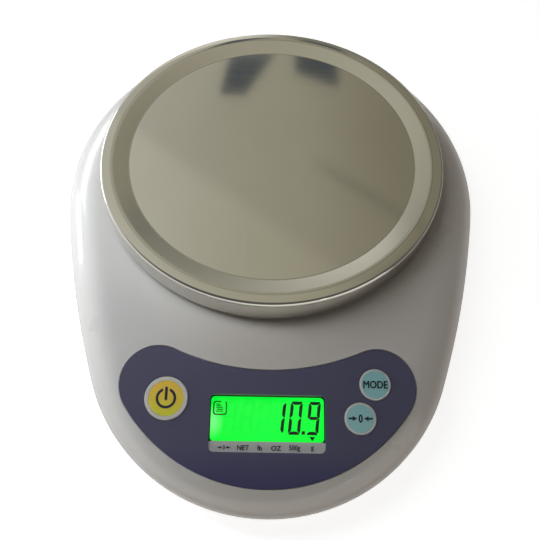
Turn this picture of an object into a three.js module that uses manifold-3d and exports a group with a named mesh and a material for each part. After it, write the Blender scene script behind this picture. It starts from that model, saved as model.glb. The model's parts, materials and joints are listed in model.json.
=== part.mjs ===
// A digital kitchen scale: a moulded housing in two halves, a single-point load cell and a steel platter.
// Millimetres, +Z up, the front towards -Y. The origin is on the table, under the middle of the housing.
import * as THREE from 'three';
import { mergeVertices } from 'three/addons/utils/BufferGeometryUtils.js';
import Module from 'manifold-3d';

const wasm = await Module();
wasm.setup();

// Clearances
const gap = 0.3;
const overrun = 2;
const facetTolerance = 0.01;

// Counts of facets
const roundSides = 18;
const fineSides = 56;
const holeSides = 24;
const screwSides = 8;
const cornerSteps = 2;
const labelSteps = 6;

// Housing plan: a rear arc around the platter and a nose arc, joined on each side by a long flank arc
const rearMargin = 19.3;
const noseSetback = 41.4;
const flankRadius = 476;

// Housing heights above the table
const footHeight = 3;
const seamHeight = 9;
const beltHeight = 13.6;
const cellHeadroom = 7;
const wall = 2.4;

// Housing roundings
const sideShoulderRun = 17.7;
const noseShoulderRun = 10.3;
const shoulderFallShare = 0.7;
const seamInset = 1.2;
const bottomInset = 7;
const lipHeight = 2;
const lipThickness = 1.2;

// Crown of the cover: a round deck, a cone around it and the control panel's plane
const deckMargin = 6;
const slopeRun = 11.6;
const deckBlend = 3;
const slopeBlend = 1;

// Control panel, a plane through the middle of the display
const panelTiltDeg = 10;
const displaySetback = 18.1;
const displayDrop = 8.6;

// Label
const labelInset = 9.2;
const labelMargin = 1.2;
const lobeRadius = 14.8;
const lobeSetout = 19.2;
const labelThickness = 0.4;
const labelWindowWidth = 44.6;
const labelWindowHeight = 21.7;
const labelWindowShift = 1.95;
const labelWindowCorner = 2;

// Display stack, measured down from the panel's face
const windowWidth = 48;
const windowHeight = 25.1;
const windowThickness = 1.2;
const windowCorner = 2.5;
const viewWidth = 43.6;
const viewHeight = 16.8;
const ledgeWidth = 1.2;
const ledgeThickness = 1.2;
const windowFrameMargin = 2;
const holderWidth = 55;
const holderHeight = 29.5;
const holderLip = 0.7;
const glassWidth = 50;
const glassHeight = 24;
const glassThickness = 2.4;
const backlightThickness = 2;
const stripWidth = 2.2;

// Circuit board
const boardMargin = 4.8;
const boardFront = 15;
const boardBack = 23;
const boardThickness = 1.6;
const boardCorner = 4;
const chipRadius = 7;
const chipHeight = 1.8;
const chipAcross = 16;
const frontScrewAcross = 31.5;
const frontScrewUp = -11.5;
const backScrewAcross = 24;
const backScrewUp = 19;
const boardBossRadius = 3;
const boardScrewRadius = 1.1;
const boardScrewHeadRadius = 2.3;
const boardScrewHeadHeight = 1.5;
const boardScrewLength = 6.5;

// Keys
const powerKeyRadius = 8.4;
const powerKeyInset = 3.9;
const powerKeyUp = 6.8;
const smallKeyRadius = 6.1;
const modeKeyInset = 1.3;
const modeKeyUp = 13.5;
const zeroKeyInset = 7.4;
const zeroKeyUp = 0.4;
const keyRise = 0.6;
const keyEdge = 0.4;
const keyFlange = 1;
const keyFlangeThickness = 0.8;
const keyStemRadius = 2.2;
const keyTravel = 0.5;
const switchWidth = 6.2;
const switchHeight = 3.5;
const switchCorner = 0.6;
const plungerRadius = 1.7;
const plungerRise = 1.2;

// Platter
const platterRadius = 75;
const platterRise = 13.9;
const platterThickness = 0.8;
const platterSlopeWidth = 7.6;
const platterRimWidth = 5;
const platterRecess = 1.9;
const platterEdge = 1.5;
const skirtHeight = 11.3;

// Carrier under the platter
const carrierOverlap = 3.6;
const carrierPlate = 2;
const carrierRim = 1.8;
const carrierDepth = 8;
const carrierRib = 1.6;
const carrierRibCount = 8;
const carrierRingRadius = 30;
const bossLength = 24;
const bossWidth = 16;
const bossCorner = 3;
const bossClearance = 3;
const bossSeatHeight = 6;
const padRadius = 5;
const padThickness = 1;
const padInset = 16;
const loadTravel = 0.5;
const collarThickness = 1.2;
const collarHeight = 1.2;

// Load cell, a beam with two joined cross holes that leave thin bending sections
const cellLength = 80;
const cellWidth = 12.7;
const cellBottom = 14;
const cellHoleRadius = 3.9;
const cellHoleOffset = 6.5;
const cellSlotHeight = 2.6;
const cellBoltInset = 5;
const cellBoltPitch = 12;
const cellBoltRadius = 1.9;
const boltHeadRadius = 3.6;
const boltHeadHeight = 2.2;
const boltGrip = 10;
const spacerThickness = 3;
const spacerLength = 22;
const pedestalMargin = 4;
const boltSeat = 3.5;
const sealLength = 15;
const sealWidth = 9;
const sealThickness = 1.2;
const stopRadius = 2;
const stopClearance = 0.3;
const stopPostRadius = 5;
const stopPostDrop = 3;

// Battery bay, for two AA cells side by side
const batteryLength = 49;
const batteryRadius = 7.25;
const batteryNubRadius = 2.75;
const batteryNubLength = 1.5;
const batteryEdge = 0.6;
const baySetback = 30.5;
const bayWall = 1.6;
const positiveSpace = 3;
const negativeSpace = 6.5;
const contactThickness = 0.5;
const contactWidth = 11;
const contactHeight = 10;
const springRadius = 3.2;
const springWire = 0.35;
const springTurns = 3.5;
const springSteps = 21;
const springSides = 5;
const dimpleRadius = 3;

// Battery door, which slides to the rear on two flanges
const doorThickness = 1.4;
const flangeThickness = 1.2;
const flangeWidth = 2;
const doorLap = 1.6;
const doorSetback = 12;
const doorGrooves = 4;
const doorGrooveWidth = 1;
const doorGrooveDepth = 0.5;
const doorGroovePitch = 2.6;
const doorGrooveLength = 26;
const railThickness = 3;

// Feet, posts and ribs of the base
const footRadius = 7;
const footInset = 20;
const footSink = 1;
const footEdge = 0.8;
const footAnglesDeg = [40, 140, -45, -135];
const screwInset = 14;
const screwAnglesDeg = [22, 158, -22, -158];
const screwRadius = 1.5;
const screwHeadRadius = 2.8;
const screwHeadHeight = 2.2;
const screwLength = 14;
const screwSeat = 6;
const postRadius = 4.5;
const postHeight = 12;
const coverBossRadius = 4;
const ribThickness = 1.2;
const ribHeight = 3.5;
const ribHalfAisle = 14;
const frontRibReach = 80;
const middleRibReach = 52;
const rearRibReach = 30;
const ribRun = 45;
const deckRibInset = 23;
const deckRibHeight = 3;

// Leads inside the housing
const leadRadius = 1.3;
const leadSides = 8;
const leadStep = 6.5;

// Colours
const white = { color: 0xe4e2e0, roughness: 0.22, metalness: 0 };
const lightPlastic = { color: 0xd9d8d4, roughness: 0.45, metalness: 0 };
const navy = { color: 0x38385a, roughness: 0.3, metalness: 0 };
const steel = { color: 0xb9b3a4, roughness: 0.18, metalness: 1 };
const screwSteel = { color: 0xa9abad, roughness: 0.35, metalness: 1 };
const aluminium = { color: 0xc6c8ca, roughness: 0.4, metalness: 1 };
const black = { color: 0x161618, roughness: 0.6, metalness: 0 };
const rubber = { color: 0x2b2b2d, roughness: 0.85, metalness: 0 };
const green = { color: 0x18e63c, roughness: 0.15, metalness: 0 };
const clear = { color: 0xf2f6f4, roughness: 0.05, metalness: 0 };
const boardGreen = { color: 0x1d5a35, roughness: 0.5, metalness: 0 };
const silicone = { color: 0xf0efe9, roughness: 0.7, metalness: 0 };
const cellWrap = { color: 0x2f6f4a, roughness: 0.35, metalness: 0.2 };
const redLead = { color: 0xa83028, roughness: 0.6, metalness: 0 };

// Places that follow from the sizes
const rad = THREE.MathUtils.degToRad;
const rearRadius = platterRadius + rearMargin;
const deckRadius = platterRadius + deckMargin;
const slopeRadius = deckRadius + slopeRun;
const labelArcRadius = slopeRadius + labelMargin;
const displayReach = labelArcRadius + displaySetback;
const arcDistance = displayReach - noseSetback;
const lobeAcross = windowWidth / 2 + lobeSetout;
const lobeReach = Math.sqrt((labelArcRadius + lobeRadius) ** 2 - lobeAcross ** 2);
const labelLowRadius = Math.hypot(lobeAcross, lobeReach - arcDistance) + lobeRadius;
const noseRadius = labelLowRadius + labelInset;
const housingLength = rearRadius + arcDistance + noseRadius;
const platterY = housingLength / 2 - rearRadius;
const noseY = platterY - arcDistance;
const axis = new THREE.Vector2(0, platterY);
const noseCentre = new THREE.Vector2(0, noseY);
const displayY = platterY - displayReach;
const cellHeight = cellWidth;
const cellTop = cellBottom + cellHeight;
const deckHeight = cellTop + cellHeadroom + wall;
const displayHeight = deckHeight - displayDrop;
const tilt = rad(panelTiltDeg);
const panelMatrix = new THREE.Matrix4().makeRotationX(tilt).setPosition(0, displayY, displayHeight);

// Keys and board, placed on the panel from the middle of the display
const keys = [
  { name: 'power', across: powerKeyInset - lobeAcross, up: powerKeyUp, radius: powerKeyRadius, color: 0xe3b521 },
  { name: 'mode', across: lobeAcross - modeKeyInset, up: modeKeyUp, radius: smallKeyRadius, color: 0x7fb3b5 },
  { name: 'zero', across: lobeAcross - zeroKeyInset, up: zeroKeyUp, radius: smallKeyRadius, color: 0x7fb3b5 },
];
const boardHalfWidth = lobeAcross + boardMargin;
const boardScrewPlaces = [-1, 1].flatMap((side) => [
  { across: side * frontScrewAcross, up: frontScrewUp },
  { across: side * backScrewAcross, up: backScrewUp },
]);

// Depths of the display stack below the panel's face
const recessDepth = labelThickness + gap;
const windowBottom = recessDepth + windowThickness;
const ledgeTop = windowBottom + gap;
const ledgeBottom = ledgeTop + ledgeThickness;
const holderTop = ledgeBottom + gap;
const glassTop = holderTop + holderLip + gap;
const glassBottom = glassTop + glassThickness;
const backlightTop = glassBottom + gap;
const backlightBottom = backlightTop + backlightThickness;
const boardTop = backlightBottom + gap;
const boardBottom = boardTop + boardThickness;

// Radii and heights of the load path
const platterRingRadius = platterRadius - platterRimWidth;
const platterDiscRadius = platterRingRadius - platterSlopeWidth;
const carrierRadius = platterDiscRadius + carrierOverlap;
const padCircle = carrierRadius - padInset;
const deckRibRadius = deckRadius - deckRibInset;
const platterTop = deckHeight + platterRise;
const spacerTop = cellBottom - gap;
const pedestalTop = spacerTop - spacerThickness - gap;
const discTop = platterTop - platterRecess;
const discUnderside = discTop - platterThickness;
const padTop = discUnderside - gap;
const plateTop = padTop - padThickness - gap;
const plateBottom = plateTop - carrierPlate;
const rimTop = discUnderside + gap / 3;
const rimBottom = rimTop - carrierDepth;
const boltInner = cellLength / 2 - cellBoltInset - cellBoltPitch;
const boltOuter = cellLength / 2 - cellBoltInset;
const boltMiddle = (boltInner + boltOuter) / 2;

// Places of the battery bay
const bayLength = batteryLength + batteryNubLength + positiveSpace + negativeSpace;
const bayHalf = bayLength / 2;
const bayY = housingLength / 2 - baySetback;
const batteryPitch = batteryRadius * 2 + gap;
const bayHalfDepth = batteryPitch / 2 + batteryRadius + gap;
const floorHeight = footHeight + wall;
const flangeBottom = footHeight + doorThickness;
const flangeTop = flangeBottom + flangeThickness;
const batteryAxisHeight = flangeTop + gap * 2 + batteryRadius;
const bayTop = batteryAxisHeight + batteryRadius + gap;
const doorHalf = bayHalf + gap * 2 - flangeWidth;
const doorFront = bayY - bayHalfDepth - doorLap;
const doorRear = housingLength / 2 - doorSetback;

// Solids and geometry

function toSolid(geometry) {
  const bare = geometry.clone();
  bare.deleteAttribute('normal');
  bare.deleteAttribute('uv');
  const merged = mergeVertices(bare);
  const mesh = { numProp: 3, vertProperties: merged.attributes.position.array };
  mesh.triVerts = new Uint32Array(merged.index.array);
  const solid = new wasm.Manifold(new wasm.Mesh(mesh));
  if (solid.volume() >= 0) return solid;
  for (let i = 0; i < mesh.triVerts.length; i += 3) {
    [mesh.triVerts[i + 1], mesh.triVerts[i + 2]] = [mesh.triVerts[i + 2], mesh.triVerts[i + 1]];
  }
  return new wasm.Manifold(new wasm.Mesh(mesh));
}

// The solid's faces, with the flat facets that its cuts left merged again
function toGeometry(solid) {
  const mesh = solid.asOriginal().simplify(facetTolerance).getMesh();
  const geometry = new THREE.BufferGeometry();
  geometry.setAttribute('position', new THREE.Float32BufferAttribute(mesh.vertProperties, 3));
  geometry.setIndex(new THREE.BufferAttribute(new Uint32Array(mesh.triVerts), 1));
  geometry.computeVertexNormals();
  return geometry;
}

function join(first, ...others) {
  return others.reduce((whole, geometry) => whole.add(toSolid(geometry)), first);
}

function cut(first, ...others) {
  return others.reduce((whole, geometry) => whole.subtract(toSolid(geometry)), first);
}

function block(width, length, low, high, x = 0, y = 0) {
  return new THREE.BoxGeometry(width, length, high - low).translate(x, y, (low + high) / 2);
}

function rod(radius, low, high, x = 0, y = 0, sides = roundSides) {
  const geometry = new THREE.CylinderGeometry(radius, radius, high - low, sides);
  return geometry.rotateX(Math.PI / 2).translate(x, y, (low + high) / 2);
}

function prism(shape, low, high, curveSegments = cornerSteps) {
  const options = { depth: high - low, bevelEnabled: false, curveSegments };
  return new THREE.ExtrudeGeometry(shape, options).translate(0, 0, low);
}

function revolve(points, sides) {
  const profile = points.map(([radius, height]) => new THREE.Vector2(radius, height));
  return new THREE.LatheGeometry(profile, sides).rotateX(Math.PI / 2);
}

function roundedRectangle(width, height, corner, x = 0, y = 0) {
  const right = width / 2 - corner;
  const top = height / 2 - corner;
  const shape = new THREE.Shape();
  shape.absarc(x + right, y + top, corner, 0, Math.PI / 2);
  shape.absarc(x - right, y + top, corner, Math.PI / 2, Math.PI);
  shape.absarc(x - right, y - top, corner, Math.PI, Math.PI * 1.5);
  shape.absarc(x + right, y - top, corner, Math.PI * 1.5, Math.PI * 2);
  shape.closePath();
  return shape;
}

// The point at given distances from two centres on the axis of symmetry, on the side of -X
function meet(first, firstRadius, second, secondRadius) {
  const line = second.clone().sub(first);
  const span = line.length();
  const along = (firstRadius ** 2 - secondRadius ** 2 + span ** 2) / (2 * span);
  const height = Math.sqrt(firstRadius ** 2 - along ** 2);
  const unit = line.divideScalar(span);
  const across = new THREE.Vector2(unit.y, -unit.x);
  return first.clone().addScaledVector(unit, along).addScaledVector(across, height);
}

// A closed skin over rings of points, with a point in the middle of its first and last ring
function skin(rings, firstPole, lastPole) {
  const count = rings[0].length;
  const points = [firstPole, ...rings.flat(), lastPole];
  const index = [];
  for (let i = 0; i < count; i += 1) {
    const next = (i + 1) % count;
    index.push(0, 1 + i, 1 + next);
    for (let ring = 0; ring < rings.length - 1; ring += 1) {
      const here = 1 + ring * count;
      const there = here + count;
      index.push(here + i, there + i, there + next);
      index.push(here + i, there + next, here + next);
    }
    const last = 1 + (rings.length - 1) * count;
    index.push(last + next, last + i, points.length - 1);
  }
  const geometry = new THREE.BufferGeometry().setFromPoints(points);
  geometry.setIndex(index);
  return geometry;
}

// Housing plan

const flankCentre = meet(axis, flankRadius - rearRadius, noseCentre, flankRadius - noseRadius);
const flankTop = axis.clone().sub(flankCentre).angle() - Math.PI * 2;
const flankEnd = noseCentre.clone().sub(flankCentre).angle() - Math.PI * 2;

// The point of the plan whose outward normal has this angle, moved in by an inset
function planPoint(angle, inset) {
  const turned = Math.atan2(Math.sin(angle), Math.abs(Math.cos(angle)));
  let centre = axis;
  let radius = rearRadius;
  if (turned < flankTop) [centre, radius] = [flankCentre, flankRadius];
  if (turned < flankEnd) [centre, radius] = [noseCentre, noseRadius];
  const reach = radius - inset;
  const x = centre.x + reach * Math.cos(turned);
  const side = Math.cos(angle) < 0 ? -1 : 1;
  return new THREE.Vector2(side * x, centre.y + reach * Math.sin(turned));
}

function spread(from, to, steps) {
  return Array.from({ length: steps }, (_, i) => from + ((to - from) * i) / steps);
}

// Normals round the plan, with steps that suit each of its arcs
const rearSteps = 11;
const flankSteps = 3;
const noseSteps = 9;
const rightAngles = [
  ...spread(Math.PI / 2, flankTop, rearSteps),
  ...spread(flankTop, flankEnd, flankSteps),
  ...spread(flankEnd, -Math.PI / 2, noseSteps),
];
const leftAngles = rightAngles.slice(1).reverse().map((angle) => -Math.PI - angle);
const planAngles = [...rightAngles, -Math.PI / 2, ...leftAngles];

function planRing(inset, height) {
  return planAngles.map((angle) => {
    const point = planPoint(angle, inset);
    return new THREE.Vector3(point.x, point.y, height);
  });
}

// Crown of the cover

function smoothLow(a, b, blend) {
  const overlap = Math.max(blend - Math.abs(a - b), 0);
  return Math.min(a, b) - overlap ** 2 / (4 * blend);
}

function panelHeightAt(y) {
  return displayHeight + Math.tan(tilt) * (y - displayY);
}

function crownHeight(x, y) {
  const reach = Math.hypot(x, y - platterY);
  const slopeDrop = deckHeight - panelHeightAt(platterY - slopeRadius);
  const cone = deckHeight - (slopeDrop * (reach - deckRadius)) / (slopeRadius - deckRadius);
  const front = -smoothLow(-cone, -panelHeightAt(y), slopeBlend);
  return smoothLow(deckHeight, front, deckBlend);
}

const outerSkin = {
  depth: 0, deckShares: [0.5, 0.94], slopeShares: [0, 0.25, 0.5, 0.75, 1], panelShares: [0.33, 0.67],
  shoulderSteps: 4,
};
const innerSkin = {
  depth: wall, deckShares: [0.5], slopeShares: [0, 0.5, 1], panelShares: [0.5], shoulderSteps: 3,
};
const slopeMargin = 1.5;
const startShare = 0.94;
const toeShare = 0.8;

// One half-section of a skin of the cover, from the deck out to the seam
function coverColumn(angle, { depth, deckShares, slopeShares, panelShares, shoulderSteps }) {
  const forward = Math.max(0, -Math.sin(angle));
  const run = sideShoulderRun + (noseShoulderRun - sideShoulderRun) * forward;
  const shoulder = planPoint(angle, run + depth);
  const out = shoulder.clone().sub(axis);
  const reach = out.length();
  const start = Math.min(deckRadius - slopeMargin, reach * startShare);
  const toe = Math.min(slopeRadius + slopeMargin, start + (reach - start) * toeShare);
  const radii = deckShares.map((share) => share * start);
  slopeShares.forEach((share) => radii.push(start + (toe - start) * share));
  panelShares.forEach((share) => radii.push(toe + (reach - toe) * share));
  const column = radii.map((radius) => {
    const point = axis.clone().addScaledVector(out, radius / reach);
    return new THREE.Vector3(point.x, point.y, crownHeight(point.x, point.y) - depth);
  });
  const edge = planPoint(angle, depth);
  const fall = shoulderFallShare * (crownHeight(edge.x, edge.y) - beltHeight);
  for (let step = 0; step <= shoulderSteps; step += 1) {
    const turn = ((step / shoulderSteps) * Math.PI) / 2;
    const point = planPoint(angle, depth + run * (1 - Math.sin(turn)));
    const height = crownHeight(point.x, point.y) - depth - fall * (1 - Math.cos(turn));
    column.push(new THREE.Vector3(point.x, point.y, height));
  }
  column.push(new THREE.Vector3(edge.x, edge.y, beltHeight));
  const seam = planPoint(angle, depth + seamInset);
  column.push(new THREE.Vector3(seam.x, seam.y, seamHeight));
  return column;
}

function coverRings(layer) {
  const columns = planAngles.map((angle) => coverColumn(angle, layer));
  return columns[0].map((_, ring) => columns.map((column) => column[ring]));
}

function coverShell() {
  const outside = new THREE.Vector3(0, platterY, deckHeight);
  const inside = new THREE.Vector3(0, platterY, deckHeight - wall);
  return skin([...coverRings(outerSkin), ...coverRings(innerSkin).reverse()], outside, inside);
}

// The whole space under the cover's outer skin, used to trim what is moulded inside it
function coverSpace(depth) {
  const top = new THREE.Vector3(0, platterY, deckHeight - depth);
  const bottom = new THREE.Vector3(0, platterY, footHeight);
  const rings = coverRings({ ...innerSkin, depth });
  return skin([...rings, planRing(depth + seamInset, footHeight)], top, bottom);
}

// Label

function labelShape(grow) {
  const [right, left] = [1, -1].map((side) => new THREE.Vector2(side * lobeAcross, platterY - lobeReach));
  const angleFrom = (from, to) => Math.atan2(to.y - from.y, to.x - from.x);
  const lobe = lobeRadius + grow;
  const shape = new THREE.Shape();
  const front = [angleFrom(noseCentre, left), angleFrom(noseCentre, right)];
  const back = [angleFrom(axis, right), angleFrom(axis, left)];
  shape.absarc(0, noseY, labelLowRadius + grow, front[0], front[1]);
  shape.absarc(right.x, right.y, lobe, front[1], back[0] + Math.PI);
  shape.absarc(0, platterY, labelArcRadius - grow, back[0], back[1], true);
  shape.absarc(left.x, left.y, lobe, back[1] + Math.PI, front[0] + Math.PI * 2);
  shape.closePath();
  return shape;
}

// A vertical prism between two depths below the panel's plane
function panelSlab(shape, bottom, top) {
  const upright = 1 / Math.cos(tilt);
  const slab = prism(shape, -bottom * upright, -top * upright, labelSteps);
  const shear = new THREE.Matrix4().makeShear(0, 0, 0, Math.tan(tilt), 0, 0);
  return slab.translate(0, -displayY, 0).applyMatrix4(shear).translate(0, displayY, displayHeight);
}

function onPanel(geometry) {
  return geometry.applyMatrix4(panelMatrix);
}

function keyHole({ across, up, radius }) {
  return onPanel(rod(radius + gap, -holderTop - overrun, overrun, across, up, holeSides));
}

function labelOverlay() {
  const opening = roundedRectangle(
    labelWindowWidth, labelWindowHeight, labelWindowCorner, 0, -labelWindowShift);
  const film = toSolid(panelSlab(labelShape(0), labelThickness, 0));
  return cut(film, onPanel(prism(opening, -overrun, overrun)), ...keys.map(keyHole));
}

// Top cover

function windowPocket() {
  const shape = roundedRectangle(
    windowWidth + gap * 2, windowHeight + gap * 2, windowCorner, 0, -labelWindowShift);
  return onPanel(prism(shape, -ledgeTop, overrun));
}

function windowOpening() {
  const width = windowWidth - ledgeWidth * 2;
  const shape = roundedRectangle(width, viewHeight + ledgeWidth, ledgeWidth);
  return onPanel(prism(shape, -ledgeBottom - overrun, overrun));
}

function windowFrame() {
  const width = windowWidth + windowFrameMargin * 2;
  const height = windowHeight + windowFrameMargin * 2;
  const shape = roundedRectangle(width, height, windowCorner, 0, -labelWindowShift);
  return onPanel(prism(shape, -ledgeBottom, -recessDepth - gap));
}

function boardBoss({ across, up }) {
  return onPanel(rod(boardBossRadius, -boardTop + gap, 0, across, up, screwSides));
}

function boardPilot({ across, up }) {
  const top = boardScrewLength - boardTop - boardScrewRadius;
  return onPanel(rod(boardScrewRadius + gap, -boardTop - overrun, top, across, up, screwSides));
}

function screwPlaces() {
  return screwAnglesDeg.map((angle) => planPoint(rad(angle), screwInset));
}

function deckCollar() {
  const length = bossLength + bossClearance * 2 + collarThickness * 2;
  const width = bossWidth + bossClearance * 2 + collarThickness * 2;
  const shape = roundedRectangle(length, width, bossCorner, boltMiddle, platterY);
  return prism(shape, deckHeight - wall, deckHeight + collarHeight);
}

function deckOpening() {
  const length = bossLength + bossClearance * 2;
  const width = bossWidth + bossClearance * 2;
  const shape = roundedRectangle(length, width, bossCorner, boltMiddle, platterY);
  return prism(shape, deckHeight - wall - overrun, deckHeight + collarHeight + overrun);
}

function deckRib() {
  const inner = deckRibRadius - ribThickness;
  const low = deckHeight - wall - deckRibHeight;
  const high = deckHeight - wall / 2;
  const profile = [[inner, low], [deckRibRadius, low], [deckRibRadius, high], [inner, high], [inner, low]];
  return revolve(profile, roundSides).translate(0, platterY, 0);
}

function topCover() {
  const postTop = footHeight + postHeight;
  const bosses = screwPlaces().map(({ x, y }) =>
    rod(coverBossRadius, postTop + gap, deckHeight, x, y, screwSides));
  const pilots = screwPlaces().map(({ x, y }) =>
    rod(screwRadius + gap, postTop, footHeight + screwSeat + screwLength + gap, x, y, screwSides));
  const inside = join(toSolid(windowFrame()), ...boardScrewPlaces.map(boardBoss), ...bosses, deckRib());
  const moulded = inside.intersect(toSolid(coverSpace(wall / 2)));
  const shell = join(toSolid(coverShell()), deckCollar()).add(moulded);
  return cut(
    shell,
    panelSlab(labelShape(gap), recessDepth, -overrun),
    windowPocket(),
    windowOpening(),
    deckOpening(),
    ...keys.map(keyHole),
    ...boardScrewPlaces.map(boardPilot),
    ...pilots,
  );
}

// Base shell

const baseSteps = 4;

function baseCurve(depth) {
  const rings = [];
  const outer = bottomInset - seamInset;
  const top = seamHeight - gap;
  for (let step = 0; step <= baseSteps; step += 1) {
    const turn = ((step / baseSteps) * Math.PI) / 2;
    const inset = seamInset + outer * (1 - Math.sin(turn)) + depth;
    const height = footHeight + depth + (top - footHeight - depth) * (1 - Math.cos(turn));
    rings.push(planRing(inset, height));
  }
  return rings;
}

function baseTray() {
  const top = seamHeight - gap;
  const lipInset = seamInset + wall + gap;
  const inset = lipInset + lipThickness;
  const inner = baseCurve(lipInset + lipThickness - seamInset);
  const floor = planRing(bottomInset + inset, floorHeight);
  const rings = [
    ...baseCurve(0),
    planRing(lipInset, top),
    planRing(lipInset, top + lipHeight),
    planRing(inset, top + lipHeight),
    inner[inner.length - 1],
    floor,
  ];
  const below = new THREE.Vector3(0, platterY, footHeight);
  const above = new THREE.Vector3(0, platterY, floorHeight);
  return skin(rings, below, above);
}

function baseSpace() {
  const top = seamHeight - gap;
  const below = new THREE.Vector3(0, platterY, footHeight);
  const above = new THREE.Vector3(0, platterY, deckHeight);
  const inset = seamInset + wall + gap;
  return skin([...baseCurve(0), planRing(inset, top), planRing(inset, deckHeight)], below, above);
}

function pedestal() {
  const width = cellWidth + pedestalMargin * 2;
  return block(spacerLength + pedestalMargin, width, footHeight, pedestalTop, -boltMiddle, platterY);
}

function stopPost() {
  const top = cellBottom - stopPostDrop;
  return rod(stopPostRadius, footHeight, top, boltMiddle, platterY, roundSides / 2);
}

function baseRibs() {
  const high = floorHeight + ribHeight;
  const reach = rearRadius - ribHalfAisle;
  const middle = ribHalfAisle + reach / 2;
  const places = [-frontRibReach, -middleRibReach, rearRibReach];
  const across = places.flatMap((y) => [-middle, middle].map((x) =>
    block(reach, ribThickness, footHeight + ribThickness, high, x, platterY + y)));
  const lengthwise = [-ribRun, ribRun].map((x) =>
    block(ribThickness, noseRadius * 2, footHeight + ribThickness, high, x, platterY - ribRun));
  return [...across, ...lengthwise];
}

function bayBox() {
  const width = (bayHalf + bayWall) * 2;
  const length = (bayHalfDepth + bayWall) * 2;
  return block(width, length, footHeight, bayTop + bayWall, 0, bayY);
}

function railBlock() {
  const width = (bayHalf + railThickness) * 2;
  const length = housingLength / 2 - doorFront + bayWall;
  const middle = doorFront - bayWall + length / 2;
  return block(width, length, footHeight, flangeTop + gap + bayWall, 0, middle);
}

function bayCavity() {
  return block(bayLength, bayHalfDepth * 2, flangeTop, bayTop, 0, bayY);
}

function doorSlots() {
  const length = housingLength / 2 + overrun - doorFront + gap;
  const middle = doorFront - gap + length / 2;
  const low = footHeight - overrun;
  const lower = block((doorHalf + gap) * 2, length, low, flangeTop, 0, middle);
  const upperHalf = doorHalf + flangeWidth + gap;
  const upper = block(upperHalf * 2, length, flangeBottom - gap, flangeTop + gap, 0, middle);
  return [lower, upper];
}

function footPockets() {
  return footAnglesDeg.map((angle) => {
    const { x, y } = planPoint(rad(angle), footInset);
    return rod(footRadius + gap, footHeight - overrun, footHeight + footSink, x, y);
  });
}

function cellBoltPlaces(side) {
  return [boltInner, boltOuter].map((x) => ({ x: x * side, y: platterY }));
}

function baseShell() {
  const postTop = footHeight + postHeight;
  const posts = screwPlaces().map(({ x, y }) => rod(postRadius, footHeight, postTop, x, y, screwSides));
  const inside = join(toSolid(pedestal()), stopPost(), ...posts, ...baseRibs(), bayBox(), railBlock());
  const shell = toSolid(baseTray()).add(inside.intersect(toSolid(baseSpace())));
  const wells = screwPlaces().map(({ x, y }) =>
    rod(screwHeadRadius + gap, footHeight - overrun, footHeight + screwSeat, x, y));
  const bores = screwPlaces().map(({ x, y }) =>
    rod(screwRadius + gap, footHeight, postTop + overrun, x, y, screwSides));
  const boltWells = cellBoltPlaces(-1).map(({ x, y }) =>
    rod(boltHeadRadius + gap, footHeight - overrun, footHeight + boltSeat, x, y));
  const boltBores = cellBoltPlaces(-1).map(({ x, y }) =>
    rod(cellBoltRadius + gap, footHeight, pedestalTop + overrun, x, y, screwSides));
  const stopBore = rod(stopRadius + gap, footHeight - overrun, cellBottom, boltMiddle, platterY, screwSides);
  return cut(
    shell, bayCavity(), ...doorSlots(), ...footPockets(),
    ...wells, ...bores, ...boltWells, ...boltBores, stopBore,
  );
}

function foot() {
  const top = footHeight + footSink - gap;
  const waist = footRadius - footEdge;
  return revolve([[0, 0], [waist, 0], [footRadius, footEdge], [footRadius, top], [0, top]], roundSides);
}

// Battery door

function batteryDoor() {
  const length = doorRear - doorFront;
  const middle = (doorRear + doorFront) / 2;
  const plate = block(doorHalf * 2, length, footHeight, flangeTop, 0, middle);
  const flanges = block((doorHalf + flangeWidth) * 2, length, flangeBottom, flangeTop, 0, middle);
  const start = doorRear - doorGroovePitch;
  const grooves = Array.from({ length: doorGrooves }, (_, i) =>
    block(doorGrooveLength, doorGrooveWidth, footHeight - overrun, footHeight + doorGrooveDepth,
      0, start - i * doorGroovePitch));
  return cut(join(toSolid(plate), flanges), ...grooves);
}

// Load cell and what bolts to it

function beam() {
  const half = cellLength / 2;
  const middle = cellHeight / 2;
  const outline = new THREE.Shape();
  outline.moveTo(-half, -middle);
  outline.lineTo(half, -middle);
  outline.lineTo(half, middle);
  outline.lineTo(-half, middle);
  const slot = Math.asin(cellSlotHeight / 2 / cellHoleRadius);
  const hole = new THREE.Path();
  hole.absarc(cellHoleOffset, 0, cellHoleRadius, Math.PI + slot, Math.PI * 3 - slot);
  hole.absarc(-cellHoleOffset, 0, cellHoleRadius, slot, Math.PI * 2 - slot);
  hole.closePath();
  outline.holes.push(hole);
  const bar = prism(outline, -cellWidth / 2, cellWidth / 2).rotateX(Math.PI / 2);
  bar.translate(0, platterY, cellBottom + middle);
  const bores = [...cellBoltPlaces(1), ...cellBoltPlaces(-1)].map(({ x, y }) =>
    rod(cellBoltRadius + gap, cellBottom - overrun, cellTop + overrun, x, y, screwSides));
  return cut(toSolid(bar), ...bores);
}

function spacer() {
  const plate = block(spacerLength, cellWidth, spacerTop - spacerThickness, spacerTop, -boltMiddle, platterY);
  const bores = cellBoltPlaces(-1).map(({ x, y }) =>
    rod(cellBoltRadius + gap, footHeight, cellBottom, x, y, screwSides));
  return cut(toSolid(plate), ...bores);
}

function seal(low) {
  const shape = roundedRectangle(sealLength, sealWidth, sealThickness, 0, platterY);
  return prism(shape, low, low + sealThickness);
}

// A screw with a low cylinder head; its head lies below the shank, or above it when turned over
function screw(headRadius, headHeight, radius, length) {
  const socket = headRadius / 2;
  const depth = headHeight / 2;
  const tip = headHeight + length;
  return revolve([
    [0, depth], [socket, depth], [socket, 0], [headRadius, 0], [headRadius, headHeight],
    [radius, headHeight], [radius, tip - radius], [radius / 2, tip], [0, tip],
  ], screwSides);
}

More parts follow.
